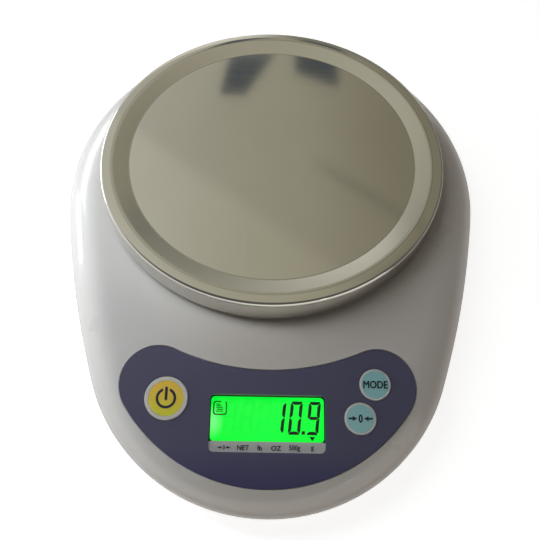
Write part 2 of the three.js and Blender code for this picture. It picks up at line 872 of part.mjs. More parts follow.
// Platter and its carrier

function platter() {
  const bottom = platterTop - skirtHeight;
  const inner = platterRadius - platterThickness;
  const bend = (radius, height) => [0, 1, 2, 3].map((step) => {
    const turn = ((step / 3) * Math.PI) / 2;
    const centre = platterTop - platterEdge;
    const across = platterRadius - platterEdge;
    return [across + radius * Math.sin(turn), centre + height * Math.cos(turn)];
  });
  const edge = bend(platterEdge, platterEdge);
  const innerEdge = bend(platterEdge - platterThickness, platterEdge - platterThickness).reverse();
  return revolve([
    [0, discTop], [platterDiscRadius, discTop], [platterRingRadius, platterTop], ...edge,
    [platterRadius, bottom], [inner, bottom], ...innerEdge,
    [platterRingRadius, platterTop - platterThickness], [platterDiscRadius, discUnderside], [0, discUnderside],
  ], fineSides);
}

function ring(outer, inner, low, high) {
  return revolve([[inner, low], [outer, low], [outer, high], [inner, high], [inner, low]], holeSides);
}

function panSupport() {
  const spokes = Array.from({ length: carrierRibCount }, (_, i) => {
    const spoke = block(carrierRadius - carrierRim / 2, carrierRib, rimBottom, plateTop - carrierPlate / 2,
      (carrierRadius - carrierRim / 2) / 2);
    return spoke.rotateZ(((i + 0.5) * 2 * Math.PI) / carrierRibCount);
  });
  const disc = toSolid(rod(carrierRadius - carrierRim / 2, plateBottom, plateTop, 0, 0, holeSides));
  const rim = ring(carrierRadius, carrierRadius - carrierRim, rimBottom, rimTop);
  const hoop = ring(carrierRingRadius, carrierRingRadius - carrierRib, rimBottom, plateTop - carrierPlate / 2);
  const upper = join(disc, rim, hoop, ...spokes).translate([0, platterY, 0]);
  const boss = roundedRectangle(bossLength, bossWidth, bossCorner, boltMiddle, platterY);
  const seat = cellTop + gap + bossSeatHeight;
  const whole = join(upper, prism(boss, cellTop + gap, plateTop - carrierPlate / 2));
  const bolts = cellBoltPlaces(1);
  return cut(
    whole,
    ...bolts.map(({ x, y }) => rod(boltHeadRadius + gap, seat, plateTop + overrun, x, y)),
    ...bolts.map(({ x, y }) => rod(cellBoltRadius + gap, cellTop - overrun, plateTop, x, y, screwSides)),
  );
}

function pad() {
  const shoulder = padThickness / 3;
  return revolve([
    [0, 0], [padRadius, 0], [padRadius, padThickness - shoulder],
    [padRadius - shoulder, padThickness], [0, padThickness],
  ], roundSides / 2);
}

// Display stack and board, drawn on the panel with its face at zero

function displayWindow() {
  const shape = roundedRectangle(windowWidth, windowHeight, windowCorner, 0, -labelWindowShift);
  return toSolid(prism(shape, -windowBottom, -recessDepth));
}

function lcdHolder() {
  const frame = toSolid(block(holderWidth, holderHeight, -backlightBottom, -holderTop));
  const pocket = block(glassWidth + gap * 2, glassHeight + gap * 2, -boardTop, -glassTop + gap);
  const view = roundedRectangle(viewWidth, viewHeight, labelWindowCorner);
  return cut(frame, pocket, prism(view, -boardTop, 0));
}

function mainBoard() {
  const height = boardFront + boardBack;
  const shape = roundedRectangle(boardHalfWidth * 2, height, boardCorner, 0, (boardBack - boardFront) / 2);
  const board = toSolid(prism(shape, -boardBottom, -boardTop));
  return cut(board, ...boardScrewPlaces.map(({ across, up }) =>
    rod(boardScrewRadius + gap, -boardBottom - overrun, -boardTop + overrun, across, up, screwSides)));
}

function switchBody() {
  const shape = roundedRectangle(switchWidth, switchWidth, switchCorner);
  const low = -boardTop + gap;
  const well = rod(plungerRadius + gap, low + switchHeight - keyTravel - gap * 2 - plungerRise,
    low + switchHeight + overrun, 0, 0, screwSides);
  return cut(toSolid(prism(shape, low, low + switchHeight)), well);
}

const switchTop = -boardTop + gap + switchHeight;
const plungerTop = switchTop + plungerRise;

function plunger() {
  return toSolid(rod(plungerRadius, switchTop - plungerRise - gap, plungerTop, 0, 0, screwSides));
}

function keyCap(radius) {
  const flangeUp = -ledgeBottom;
  const flangeLow = flangeUp - keyFlangeThickness;
  return revolve([
    [0, plungerTop + gap], [keyStemRadius, plungerTop + gap], [keyStemRadius, flangeLow],
    [radius + keyFlange, flangeLow], [radius + keyFlange, flangeUp], [radius, flangeUp],
    [radius, keyRise - keyEdge], [radius - keyEdge, keyRise], [0, keyRise],
  ], holeSides);
}

// Batteries and contacts

function battery() {
  const length = batteryLength;
  const shell = revolve([
    [0, 0], [batteryRadius - batteryEdge, 0], [batteryRadius, batteryEdge],
    [batteryRadius, length - batteryEdge], [batteryRadius - batteryEdge, length],
    [batteryNubRadius, length], [batteryNubRadius, length + batteryNubLength], [0, length + batteryNubLength],
  ], roundSides);
  return shell.rotateY(Math.PI / 2);
}

class Coil extends THREE.Curve {
  getPoint(share) {
    const turn = share * springTurns * Math.PI * 2;
    const taper = 1 - share / 4;
    const x = share * springSpan;
    const radius = springRadius * taper;
    return new THREE.Vector3(x, radius * Math.cos(turn), radius * Math.sin(turn));
  }
}

const contactPlane = bayHalf - gap - contactThickness;
const springSpan = negativeSpace - contactThickness - gap * 3 - springWire * 2;

function tube(curve, radius, sides, steps) {
  const section = new THREE.Shape();
  section.absarc(0, 0, radius, 0, Math.PI * 2);
  const outline = new THREE.Shape(section.getPoints(sides / 2).slice(0, -1));
  return new THREE.ExtrudeGeometry(outline, { steps, bevelEnabled: false, extrudePath: curve });
}

function contactSpring() {
  return tube(new Coil(), springWire, springSides + 1, springSteps);
}

function contactBlade(length) {
  return block(contactThickness, length, -contactHeight / 2, contactHeight / 2);
}

function dimple() {
  const reach = positiveSpace - contactThickness - gap * 2;
  return new THREE.CylinderGeometry(dimpleRadius, dimpleRadius / 2, reach + contactThickness / 2, screwSides)
    .rotateZ(Math.PI / 2).translate(-(reach + contactThickness / 2) / 2, 0, 0);
}

// Assembly

const scale = new THREE.Group();
const panel = new THREE.Group();
panel.applyMatrix4(panelMatrix);
scale.add(panel);

function addPart(name, shape, finish, parent = scale) {
  const solid = shape.isBufferGeometry ? toSolid(shape) : shape;
  const mesh = new THREE.Mesh(toGeometry(solid), new THREE.MeshStandardMaterial(finish));
  mesh.name = name;
  parent.add(mesh);
  return mesh;
}

function addHousing() {
  addPart('base_shell', baseShell(), lightPlastic);
  addPart('top_cover', topCover(), white);
  addPart('label_overlay', labelOverlay(), navy);
  addPart('battery_door', batteryDoor(), lightPlastic);
  footAnglesDeg.forEach((angle, i) => {
    const place = planPoint(rad(angle), footInset);
    addPart(`foot_${i + 1}`, foot(), rubber).position.set(place.x, place.y, 0);
  });
  screwPlaces().forEach((place, i) => {
    const shape = screw(screwHeadRadius, screwHeadHeight, screwRadius, screwLength);
    const height = footHeight + screwSeat - gap - screwHeadHeight;
    addPart(`case_screw_${i + 1}`, shape, screwSteel).position.set(place.x, place.y, height);
  });
}

function addLoadPath() {
  addPart('platter', platter(), steel).position.y = platterY;
  addPart('pan_support', panSupport(), lightPlastic);
  for (let i = 0; i < 4; i += 1) {
    const turn = (i / 4) * Math.PI * 2;
    const place = new THREE.Vector3(Math.cos(turn) * padCircle, Math.sin(turn) * padCircle + platterY);
    addPart(`pan_pad_${i + 1}`, pad(), rubber).position.set(place.x, place.y, plateTop + gap);
  }
  addPart('load_cell', beam(), aluminium);
  addPart('load_cell_spacer', spacer(), aluminium);
  addPart('gauge_seal_top', seal(cellTop + gap), silicone);
  addPart('gauge_seal_bottom', seal(cellBottom - gap - sealThickness), silicone);
  const seat = cellTop + gap + bossSeatHeight;
  cellBoltPlaces(1).forEach(({ x, y }, i) => {
    const length = bossSeatHeight + gap * 2 + boltGrip;
    const bolt = addPart(`support_screw_${i + 1}`,
      screw(boltHeadRadius, boltHeadHeight, cellBoltRadius, length), screwSteel);
    bolt.position.set(x, y, seat + gap + boltHeadHeight);
    bolt.rotation.x = Math.PI;
  });
  cellBoltPlaces(-1).forEach(({ x, y }, i) => {
    const low = footHeight + boltSeat - gap - boltHeadHeight;
    const length = cellBottom + boltGrip - low - boltHeadHeight;
    const bolt = addPart(`load_cell_screw_${i + 1}`,
      screw(boltHeadRadius, boltHeadHeight, cellBoltRadius, length), screwSteel);
    bolt.position.set(x, y, low);
  });
  const stopTop = cellBottom - loadTravel - stopClearance;
  const stopLow = footHeight + gap;
  const grub = revolve([[0, stopLow], [stopRadius, stopLow], [stopRadius, stopTop - stopRadius / 2],
    [stopRadius / 2, stopTop], [0, stopTop]], screwSides);
  addPart('overload_screw', grub, screwSteel).position.set(boltMiddle, platterY, 0);
}

function addDisplay() {
  addPart('display_window', displayWindow(), clear, panel);
  addPart('lcd_holder', lcdHolder(), black, panel);
  addPart('lcd_glass', block(glassWidth, glassHeight, -glassBottom, -glassTop), green, panel);
  const lightHeight = glassHeight - stripWidth - gap;
  const lightMiddle = (lightHeight - glassHeight) / 2;
  addPart('backlight_panel',
    block(glassWidth, lightHeight, -backlightBottom, -backlightTop, 0, lightMiddle), silicone, panel);
  addPart('contact_strip', block(glassWidth - stripWidth * 2, stripWidth, -backlightBottom, -backlightTop,
    0, (glassHeight - stripWidth) / 2), rubber, panel);
  addPart('main_board', mainBoard(), boardGreen, panel);
  const chip = revolve([[0, 0], [chipRadius, 0], [chipRadius * 0.8, chipHeight * 0.7],
    [chipRadius / 3, chipHeight], [0, chipHeight]], screwSides * 2).rotateX(Math.PI);
  addPart('chip_seal', chip, black, panel).position.set(chipAcross, 0, -boardBottom - gap);
  boardScrewPlaces.forEach(({ across, up }, i) => {
    const shape = screw(boardScrewHeadRadius, boardScrewHeadHeight, boardScrewRadius, boardScrewLength);
    addPart(`board_screw_${i + 1}`, shape, screwSteel, panel)
      .position.set(across, up, -boardBottom - gap - boardScrewHeadHeight);
  });
}

function addKeys() {
  keys.forEach(({ name, across, up, radius, color }) => {
    const finish = { color, roughness: 0.35, metalness: 0 };
    addPart(`key_${name}`, keyCap(radius), finish, panel).position.set(across, up, 0);
    addPart(`switch_${name}`, switchBody(), black, panel).position.set(across, up, 0);
    addPart(`plunger_${name}`, plunger(), lightPlastic, panel).position.set(across, up, 0);
  });
}

function addBatteries() {
  [1, -1].forEach((side, i) => {
    const y = bayY - (side * batteryPitch) / 2;
    const start = -bayHalf + negativeSpace;
    const turn = side > 0 ? 0 : Math.PI;
    const row = new THREE.Group();
    row.position.set(0, y, batteryAxisHeight);
    row.rotation.z = turn;
    scale.add(row);
    addPart(`battery_${i + 1}`, battery(), cellWrap, row).position.x = start;
    addPart(`contact_spring_${i + 1}`, contactSpring(), screwSteel, row).position.x =
      -contactPlane + gap + springWire;
  });
  const middle = contactThickness / 2 + contactPlane;
  const along = batteryPitch / 2;
  const tab = (length, y) => contactBlade(length).translate(0, y, 0);
  const bridge = join(toSolid(tab(batteryPitch + contactWidth, 0)), dimple().translate(0, -along, 0));
  addPart('contact_bridge', bridge, screwSteel).position.set(middle, bayY, batteryAxisHeight);
  addPart('contact_plate_1', tab(contactWidth, 0), screwSteel)
    .position.set(-middle, bayY - along, batteryAxisHeight);
  const positive = join(toSolid(tab(contactWidth, 0)), dimple()).rotate([0, 0, 180]);
  addPart('contact_plate_2', positive, screwSteel).position.set(-middle, bayY + along, batteryAxisHeight);
}

// A lead through hand-chosen points, each given as across, along and height
function lead(points) {
  const curve = new THREE.CatmullRomCurve3(points.map((point) => new THREE.Vector3(...point)));
  return tube(curve, leadRadius, leadSides, Math.ceil(curve.getLength() / leadStep));
}

function addLeads() {
  const aisle = floorHeight + gap + leadRadius;
  const sideOfCell = platterY - cellWidth / 2 - leadRadius - gap;
  const boardY = displayY + boardBack - boardCorner;
  const boardZ = panelHeightAt(boardY) - (boardBottom + gap + leadRadius) / Math.cos(tilt);
  const inwards = leadRadius * 6;
  addPart('load_cell_cable', lead([
    [0, sideOfCell, cellBottom + cellHeight / 2],
    [-leadRadius * 2, sideOfCell - leadRadius, cellBottom],
    [-inwards, sideOfCell - inwards, aisle + leadRadius],
    [-inwards, sideOfCell - inwards * 2, aisle],
    [-inwards, (sideOfCell + boardY) / 2, aisle],
    [-inwards, boardY + inwards * 2, aisle + leadRadius],
    [-inwards, boardY, boardZ],
  ]), silicone);
  const bayFront = bayY - bayHalfDepth - bayWall - gap;
  addPart('battery_cable', lead([
    [inwards, bayFront, batteryAxisHeight],
    [inwards, bayFront - leadRadius * 2, batteryAxisHeight],
    [inwards, bayFront - inwards, aisle + leadRadius * 3],
    [inwards, bayFront - inwards * 1.5, aisle + leadRadius],
    [inwards, bayFront - inwards * 2.5, aisle + gap],
    [inwards, platterY + cellWidth, aisle],
    [inwards, platterY - cellWidth, aisle],
    [inwards, (sideOfCell + boardY) / 2, aisle],
    [inwards, boardY + inwards * 2, aisle + leadRadius],
    [inwards, boardY, boardZ],
  ]), redLead);
}

addHousing();
addLoadPath();
addDisplay();
addKeys();
addBatteries();
addLeads();

export default scale;
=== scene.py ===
import json
import math

import bmesh
import bpy
from mathutils import Matrix, Vector


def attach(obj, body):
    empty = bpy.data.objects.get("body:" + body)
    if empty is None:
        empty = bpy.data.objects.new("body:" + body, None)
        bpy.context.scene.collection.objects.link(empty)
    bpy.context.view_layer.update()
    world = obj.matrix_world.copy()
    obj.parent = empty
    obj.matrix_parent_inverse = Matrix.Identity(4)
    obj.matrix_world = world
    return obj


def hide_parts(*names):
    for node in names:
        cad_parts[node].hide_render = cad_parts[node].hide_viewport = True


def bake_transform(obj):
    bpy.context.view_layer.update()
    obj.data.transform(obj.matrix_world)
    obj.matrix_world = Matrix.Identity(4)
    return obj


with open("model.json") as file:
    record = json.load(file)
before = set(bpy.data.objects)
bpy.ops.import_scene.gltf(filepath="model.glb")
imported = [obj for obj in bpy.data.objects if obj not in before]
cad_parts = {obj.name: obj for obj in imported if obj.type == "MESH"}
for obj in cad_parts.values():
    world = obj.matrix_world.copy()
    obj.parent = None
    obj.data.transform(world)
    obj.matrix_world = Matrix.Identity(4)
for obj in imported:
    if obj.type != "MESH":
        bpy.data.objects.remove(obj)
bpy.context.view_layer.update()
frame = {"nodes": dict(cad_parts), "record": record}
nodes = frame["nodes"]
MM = 0.001

# Camera, placed from the platter's rim and the display in the photograph

IMAGE_PIXELS = 540
FOCAL_PIXELS = 640
CAMERA_PLACE = Vector((-1.93, -155.553, 269.904)) * MM
CAMERA_RIGHT = Vector((0.99977, 0.01425, 0.01625))
CAMERA_UP = Vector((-0.02035, 0.87367, 0.48609))


def linked(name, data):
    """A new object of the scene with this mesh, curve, lamp or camera."""
    obj = bpy.data.objects.new(name, data)
    bpy.context.scene.collection.objects.link(obj)
    return obj


camera_data = bpy.data.cameras.new("camera")
camera_data.sensor_width = 36
camera_data.lens = FOCAL_PIXELS * camera_data.sensor_width / IMAGE_PIXELS
camera_data.clip_start = 0.01
camera = linked("camera", camera_data)
camera_axes = Matrix((CAMERA_RIGHT, CAMERA_UP, CAMERA_RIGHT.cross(CAMERA_UP)))
camera.matrix_world = Matrix.Translation(CAMERA_PLACE) @ camera_axes.transposed().to_4x4()
bpy.context.scene.camera = camera

# Sizes, in millimetres

GAP = 0.3
WALL = 2.4
FOOT_HEIGHT = 3
FOOT_RADIUS = 7
FOOT_INSET = 20
CASE_SCREW_INSET = 14
CASE_HEAD, CASE_SHANK = 2.8, 1.5
BOLT_HEAD, BOLT_SHANK = 3.6, 1.9
HEAD_HEIGHT = 2.2
SEAM_HEIGHT = 9
BELT_HEIGHT = 13.6
DECK_HEIGHT = 36.1
SIDE_RUN = 17.7
NOSE_RUN = 10.3
FALL_SHARE = 0.7
SEAM_INSET = 1.2
BOTTOM_INSET = 7
REAR_RADIUS = 94.3
FLANK_RADIUS = 476
DECK_RADIUS = 81
SLOPE_RADIUS = 92.6
ARC_RADIUS = 93.8
DISPLAY_REACH = 111.9
ARC_DISTANCE = 70.5
LOBE_RADIUS = 14.8
LOBE_ACROSS = 43.2
LOBE_REACH = math.sqrt((ARC_RADIUS + LOBE_RADIUS) ** 2 - LOBE_ACROSS ** 2)
LOW_RADIUS = math.hypot(LOBE_ACROSS, LOBE_REACH - ARC_DISTANCE) + LOBE_RADIUS
FRONT_LIP = 9.2
NOSE_RADIUS = LOW_RADIUS + FRONT_LIP
LENGTH = REAR_RADIUS + ARC_DISTANCE + NOSE_RADIUS
PLATTER_Y = LENGTH / 2 - REAR_RADIUS
NOSE_Y = PLATTER_Y - ARC_DISTANCE
DISPLAY_Y = PLATTER_Y - DISPLAY_REACH
PANEL_HEIGHT = 27.5
TILT = math.radians(10)
WINDOW_LENGTH = 48
WINDOW_WIDTH = 25.1
WINDOW_CORNER = 2.5
WINDOW_Y = -1.95
VIEW_LENGTH = 45.6
VIEW_WIDTH = 18
GLASS_DEPTH = 4.7
GLASS_LENGTH = 50
GLASS_WIDTH = 24
LABEL_OVERLAP = 1.7
LEGEND_Y = -11.1
PLATTER_TOP = 50
PLATTER_RADIUS = 75
PLATTER_WALL = 0.8
SKIRT_HEIGHT = 11.3
EDGE_RADIUS = 1.5
RING_RADIUS = 70
DISC_RADIUS = 62.4
DISC_TOP = 48.1
CARRIER_RADIUS = 66
PAD_REACH = 50
BOSS_LENGTH = 24
BOSS_WIDTH = 16
BOSS_CLEARANCE = 3
BEAM_LENGTH = 80
BEAM_SIDE = 12.7
BEAM_LOW = 14
BOLT_MIDDLE = 29
BOLTS = (BOLT_MIDDLE - 6, BOLT_MIDDLE + 6)
CELL_RADIUS = 7.25
CELL_PITCH = 14.8
CELL_HEIGHT = 13.45
BAY_Y = LENGTH / 2 - 30.5
BAY_WALL = 1.6
BAY_HALF = 30
BAY_DEPTH = CELL_PITCH / 2 + CELL_RADIUS + GAP
DOOR_HALF = 28.6
DOOR_FLANGE = 2
DOOR_TOP = 5.6
FLANGE_LOW = 4.4
DOOR_FRONT = BAY_Y - BAY_DEPTH - BAY_WALL
DOOR_REAR = LENGTH / 2 - 12
KEYS = {"power": (-39.3, 6.8, 8.4), "mode": (41.9, 13.5, 6.1), "zero": (35.8, 0.4, 6.1)}

PANEL = Matrix.Translation((0, DISPLAY_Y, PANEL_HEIGHT)) @ Matrix.Rotation(TILT, 4, "X")
AXIS = Matrix.Translation((0, PLATTER_Y, 0))

# Materials


class Wire:
    """A value on its way through a material; arithmetic on it adds Math nodes."""

    def __init__(self, finish, socket):
        self.finish = finish
        self.socket = socket

    def math(self, operation, *values):
        inputs = dict(enumerate((self, *values)))
        return self.finish.node("ShaderNodeMath", {"operation": operation}, inputs)

    def __add__(self, other):
        return self.math("ADD", other)

    def __mul__(self, other):
        return self.math("MULTIPLY", other)

    def __sub__(self, other):
        return self.math("SUBTRACT", other)

    def __rsub__(self, other):
        return self.math("MULTIPLY", -1).math("ADD", other)

    def step(self, low, high):
        """0 below low and 1 above high, smooth between."""
        settings = {"interpolation_type": "SMOOTHSTEP"}
        return self.finish.node("ShaderNodeMapRange", settings, {0: self, 1: low, 2: high})

    __radd__ = __add__
    __rmul__ = __mul__


class Graph:
    """The nodes of a material or of the world."""

    def __init__(self, owner, shader):
        owner.use_nodes = True
        self.tree = owner.node_tree
        self.shader = self.tree.nodes[shader]

    def node(self, kind, settings=(), inputs=(), output=0):
        made = self.tree.nodes.new(kind)
        for key, value in dict(settings).items():
            if key == "stops":
                for stop, (place, color) in zip(made.color_ramp.elements, value):
                    stop.position = place
                    stop.color = color
            else:
                setattr(made, key, value)
        for key, value in dict(inputs).items():
            if isinstance(value, Wire):
                self.tree.links.new(value.socket, made.inputs[key])
            else:
                made.inputs[key].default_value = value
        return Wire(self, made.outputs[output])

    def feed(self, name, value):
        if isinstance(value, Wire):
            self.tree.links.new(value.socket, self.shader.inputs[name])
        elif isinstance(value, tuple):
            self.shader.inputs[name].default_value = (*value, 1)
        else:
            self.shader.inputs[name].default_value = value

    def mix(self, share, first, second):
        inputs = {0: share}
        for key, value in ((6, first), (7, second)):
            inputs[key] = value if isinstance(value, Wire) else (*value, 1)
        return self.node("ShaderNodeMix", {"data_type": "RGBA"}, inputs, 2)

    def ray(self, kind):
        return Wire(self, self.node("ShaderNodeLightPath").socket.node.outputs[f"Is {kind} Ray"])

    def seen(self):
        """1 for what the camera sees, directly, in a gloss or through something clear."""
        direct = self.ray("Camera").math("MAXIMUM", self.ray("Glossy"))
        return direct.math("MAXIMUM", self.ray("Transmission"))


class Finish(Graph):
    """A material, with the Principled shader's constants given by name."""

    def __init__(self, name, **constants):
        self.material = bpy.data.materials.new(name)
        super().__init__(self.material, "Principled BSDF")
        self.place = self.node("ShaderNodeTexCoord", output="Object")
        for key, value in constants.items():
            self.feed(key.replace("_", " ").title().replace("Ior", "IOR"), value)

    def across_and_along(self):
        """The place along X and along Y."""
        split = self.node("ShaderNodeSeparateXYZ", (), {0: self.place}).socket.node
        return [Wire(self, output) for output in split.outputs[:2]]

    def noise(self, scale, detail=2, where=None, rough=0.5):
        inputs = {"Vector": where or self.place, "Scale": scale, "Detail": detail, "Roughness": rough}
        return self.node("ShaderNodeTexNoise", (), inputs, "Fac")

    def stretched(self, scale, centre=(0, 0, 0)):
        """The place, counted from a centre and stretched along the axes."""
        moved = self.node("ShaderNodeVectorMath", {"operation": "SUBTRACT"}, {0: self.place, 1: centre})
        return self.node("ShaderNodeVectorMath", {"operation": "MULTIPLY"}, {0: moved, 1: scale})

    def bump(self, height, distance, strength=1.0):
        inputs = {"Height": height, "Distance": distance, "Strength": strength}
        self.feed("Normal", self.node("ShaderNodeBump", (), inputs))

    def reach(self, centre):
        """Distance from an upright axis."""
        flat = self.stretched((1, 1, 0), centre)
        return self.node("ShaderNodeVectorMath", {"operation": "LENGTH"}, {0: flat}, "Value")


def moulded(name, color, roughness, grain=0.00002, scale=1800, **constants):
    """Moulded plastic: faint clouding, uneven gloss and a fine grain."""
    made = Finish(name, **constants)
    cloud = made.noise(14, 3)
    dark = tuple(c * 0.93 for c in color)
    made.feed("Base Color", made.mix(cloud.step(0.3, 0.7), dark, color))
    made.feed("Roughness", made.noise(60, 3) * (roughness * 0.3) + roughness * 0.85)
    made.bump(made.noise(scale, 2), grain)
    return made.material


def metal(name, color, roughness, along=(1, 1, 1), scale=900, depth=0.000015):
    """Worked metal: fine lines along one direction, with uneven gloss."""
    made = Finish(name, metallic=1.0)
    lines = made.noise(scale, 3, made.stretched(along))
    dark = tuple(c * 0.82 for c in color)
    made.feed("Base Color", made.mix(made.noise(40, 3).step(0.25, 0.75), dark, color))
    made.feed("Roughness", lines * 0.14 + (roughness - 0.07))
    made.bump(lines, depth)
    return made.material


def cover_finish():
    """Glossy pale housing, with painted light making it lighter at the left and painted shade making it a
    little darker and warmer to the right, faint ripples and moulding clouds.
    """
    made = Finish("pale gloss housing", coat_weight=0.7, coat_roughness=0.03, ior=1.5)
    x = made.across_and_along()[0]
    # Painted light and shade in the base colour: lighter at the left, darker and warmer to the right.
    pale = made.mix(x.step(-0.07, 0.0), (0.72, 0.72, 0.712), (0.60, 0.568, 0.525))
    cloud = made.noise(22, 4, made.stretched((1, 1.6, 1))).step(0.25, 0.8)
    made.feed("Base Color", made.mix(cloud * 0.12, pale, (0.58, 0.57, 0.55)))
    made.feed("Roughness", made.noise(35, 3) * 0.1 + 0.24)
    ripple = made.noise(30, 2, made.stretched((1.4, 0.6, 1))) + made.noise(900, 2) * 0.01
    made.bump(ripple, 0.0001, 0.4)
    return made.material


def label_finish():
    """Printed film, blue grey, with painted shade making it darker to the right, and deep blue along the
    front edge.
    """
    made = Finish("dark blue label film", coat_weight=0.25, coat_roughness=0.15)
    x, y = made.across_and_along()
    # Painted shade: the film's blue grey turns darker to the right.
    across = made.mix(x.step(-0.06, 0.055), (0.082, 0.080, 0.155), (0.075, 0.075, 0.135))
    front_edge = NOSE_Y - LOW_RADIUS
    deep = 1 - y.step(front_edge * MM, (front_edge + 16) * MM)
    color = made.mix(deep * 0.7, across, (0.035, 0.032, 0.12))
    specks = made.noise(1500, 2).step(0.66, 0.74)
    made.feed("Base Color", made.mix(specks * 0.2, color, (0.16, 0.16, 0.24)))
    made.feed("Roughness", made.noise(120, 3) * 0.16 + 0.3)
    made.bump(made.noise(2600, 2), 0.00001)
    return made.material


def platter_finish():
    """Bright stainless steel: a satin of very fine straight lines, with faint clouds and scratches, and
    painted shade in thin dark lines at its two creases.
    """
    made = Finish("bright stainless steel", metallic=1.0)
    reach = made.reach((0, PLATTER_Y * MM, 0))
    # Painted shade: a thin dark line at the disc's crease and at the ring's crease.
    painted_crease_shades = [1 - (reach - radius * MM).math("ABSOLUTE").step(0, 0.45 * MM)
               for radius in (DISC_RADIUS + 0.2, RING_RADIUS + 0.2)]
    satin = made.noise(700, 4, made.stretched((0.03, 1, 1)))
    scratch = made.noise(130, 5, made.stretched((1, 0.12, 1))).step(0.62, 0.78)
    cloud = made.noise(19, 4).step(0.3, 0.75)
    tone = made.mix(cloud, (0.60, 0.585, 0.535), (0.63, 0.615, 0.57))
    bright = made.mix(scratch * 0.3, tone, (0.66, 0.65, 0.62))
    made.feed("Base Color", made.mix((painted_crease_shades[0] + painted_crease_shades[1]) * 0.45, bright, (0.28, 0.27, 0.24)))
    slope = reach.step((DISC_RADIUS - 0.2) * MM, (DISC_RADIUS + 0.4) * MM)
    slope = slope * (1 - reach.step((RING_RADIUS - 0.2) * MM, (RING_RADIUS + 0.4) * MM))
    made.feed("Roughness", satin * 0.04 + cloud * 0.015 + scratch * 0.03 + slope * 0.1 + 0.045)
    made.bump(satin, 0.0000025)
    return made.material


def display_finish():
    """Lit display: even green with a pale spot of the lamp behind its left end."""
    made = Finish("lit green display", roughness=0.25, emission_strength=1.0)
    x, y = made.across_and_along()
    spot_x = (x + 22 * MM) * (1 / (6 * MM))
    spot_y = (y - (DISPLAY_Y - 0.5) * MM) * (1 / (7.5 * MM))
    away = (spot_x * spot_x + spot_y * spot_y).math("SQRT")
    spot = 1 - away.step(0, 1)
    field = made.mix(made.noise(70, 2).step(0.3, 0.7), (0.0, 0.93, 0.035), (0.002, 1.0, 0.045))
    made.feed("Emission Color", made.mix(spot * 0.45, field, (0.45, 1.0, 0.52)))
    made.feed("Base Color", (0.005, 0.1, 0.01))
    return made.material


def clear_finish():
    made = Finish("clear window", roughness=0.04, transmission_weight=1.0, ior=1.0)
    made.feed("Base Color", (0.97, 1.0, 0.98))
    made.feed("Alpha", made.noise(30, 2) * 0.04 + 0.05)
    return made.material


def sleeve_finish():
    """Battery sleeve: glossy dark green film, a little uneven."""
    made = Finish("battery sleeve", metallic=0.4, coat_weight=0.4)
    cloud = made.noise(300, 2).step(0.3, 0.7)
    made.feed("Base Color", made.mix(cloud, (0.03, 0.11, 0.05), (0.04, 0.15, 0.07)))
    made.feed("Roughness", made.noise(90, 2) * 0.1 + 0.25)
    return made.material


def key_finish(name, rear, front):
    """Satin key face in its own colour at the rear, with painted light making the front lighter and
    greener.
    """
    made = Finish(name, coat_weight=0.15)
    y = made.across_and_along()[1]
    # Painted light: the front of the key face is lighter and greener than the rear, which keeps the key's
    # own colour.
    made.feed("Base Color", made.mix(y.step((DISPLAY_Y - 4) * MM, (DISPLAY_Y + 12) * MM), front, rear))
    made.feed("Roughness", made.noise(150, 2) * 0.1 + 0.33)
    made.bump(made.noise(2200, 2), 0.00001)
    return made.material


LOOKS = {
    "cover_white": cover_finish(),
    "base_plastic": moulded("fine matt base plastic", (0.55, 0.545, 0.53), 0.5),
    "carrier_plastic": moulded("fine matt carrier plastic", (0.60, 0.59, 0.565), 0.5),
    "label_film": label_finish(),
    "platter_steel": platter_finish(),
    "screw_steel": metal("zinc plated steel", (0.52, 0.53, 0.54), 0.34),
    "contact_steel": metal("nickel plated spring steel", (0.66, 0.65, 0.62), 0.2),
    "cell_aluminium": metal("milled aluminium", (0.72, 0.73, 0.74), 0.36, (0.04, 1, 1), 700),
    "foot_rubber": moulded("matt black rubber", (0.022, 0.022, 0.024), 0.8, 0.00006, 900),
    "strip_rubber": moulded("layered rubber strip", (0.05, 0.05, 0.052), 0.7),
    "seal_silicone": moulded("pale silicone", (0.72, 0.71, 0.66), 0.6),
    "window_clear": clear_finish(),
    "holder_black": moulded("matt black plastic", (0.012, 0.012, 0.013), 0.55),
    "lcd_green": display_finish(),
    "light_guide": moulded("milky light guide", (0.72, 0.84, 0.74), 0.4),
    "board_green": moulded("green solder resist", (0.015, 0.09, 0.04), 0.35),
    # For the key faces the first colour is the key's own, at the rear; the second is the front with
    # painted light.
    "key_yellow": key_finish("yellow key face", (0.92, 0.60, 0.04), (0.72, 0.78, 0.03)),
    "key_teal": key_finish("teal key face", (0.28, 0.56, 0.57), (0.33, 0.62, 0.62)),
    "battery_wrap": sleeve_finish(),
    "lead_grey": moulded("grey lead sleeve", (0.42, 0.42, 0.41), 0.5),
    "lead_red": moulded("red lead sleeve", (0.36, 0.03, 0.02), 0.5),
}
KEY_RIM = moulded("grey key rim", (0.67, 0.66, 0.64), 0.35)
PRINT_DARK = moulded("dark key print", (0.012, 0.02, 0.035), 0.5)
PRINT_BLACK = moulded("black display print", (0.006, 0.012, 0.006), 0.5)
GHOST = moulded("faint display segments", (0.0, 0.2, 0.01), 0.4,
                emission_color=(0.0, 0.86, 0.035), emission_strength=1.0)
LEGEND_BAR = moulded("silver grey legend bar", (0.56, 0.57, 0.56), 0.35)
COPPER = metal("copper coloured sleeve end", (0.70, 0.42, 0.25), 0.28)

# Making pieces

SHARP = math.radians(28)


def edit(mesh=None):
    bm = bmesh.new()
    if mesh:
        bm.from_mesh(mesh)
    return bm


def closed(bm, name="helper"):
    """The mesh of a finished edit."""
    mesh = bpy.data.meshes.new(name)
    bm.to_mesh(mesh)
    bm.free()
    return mesh


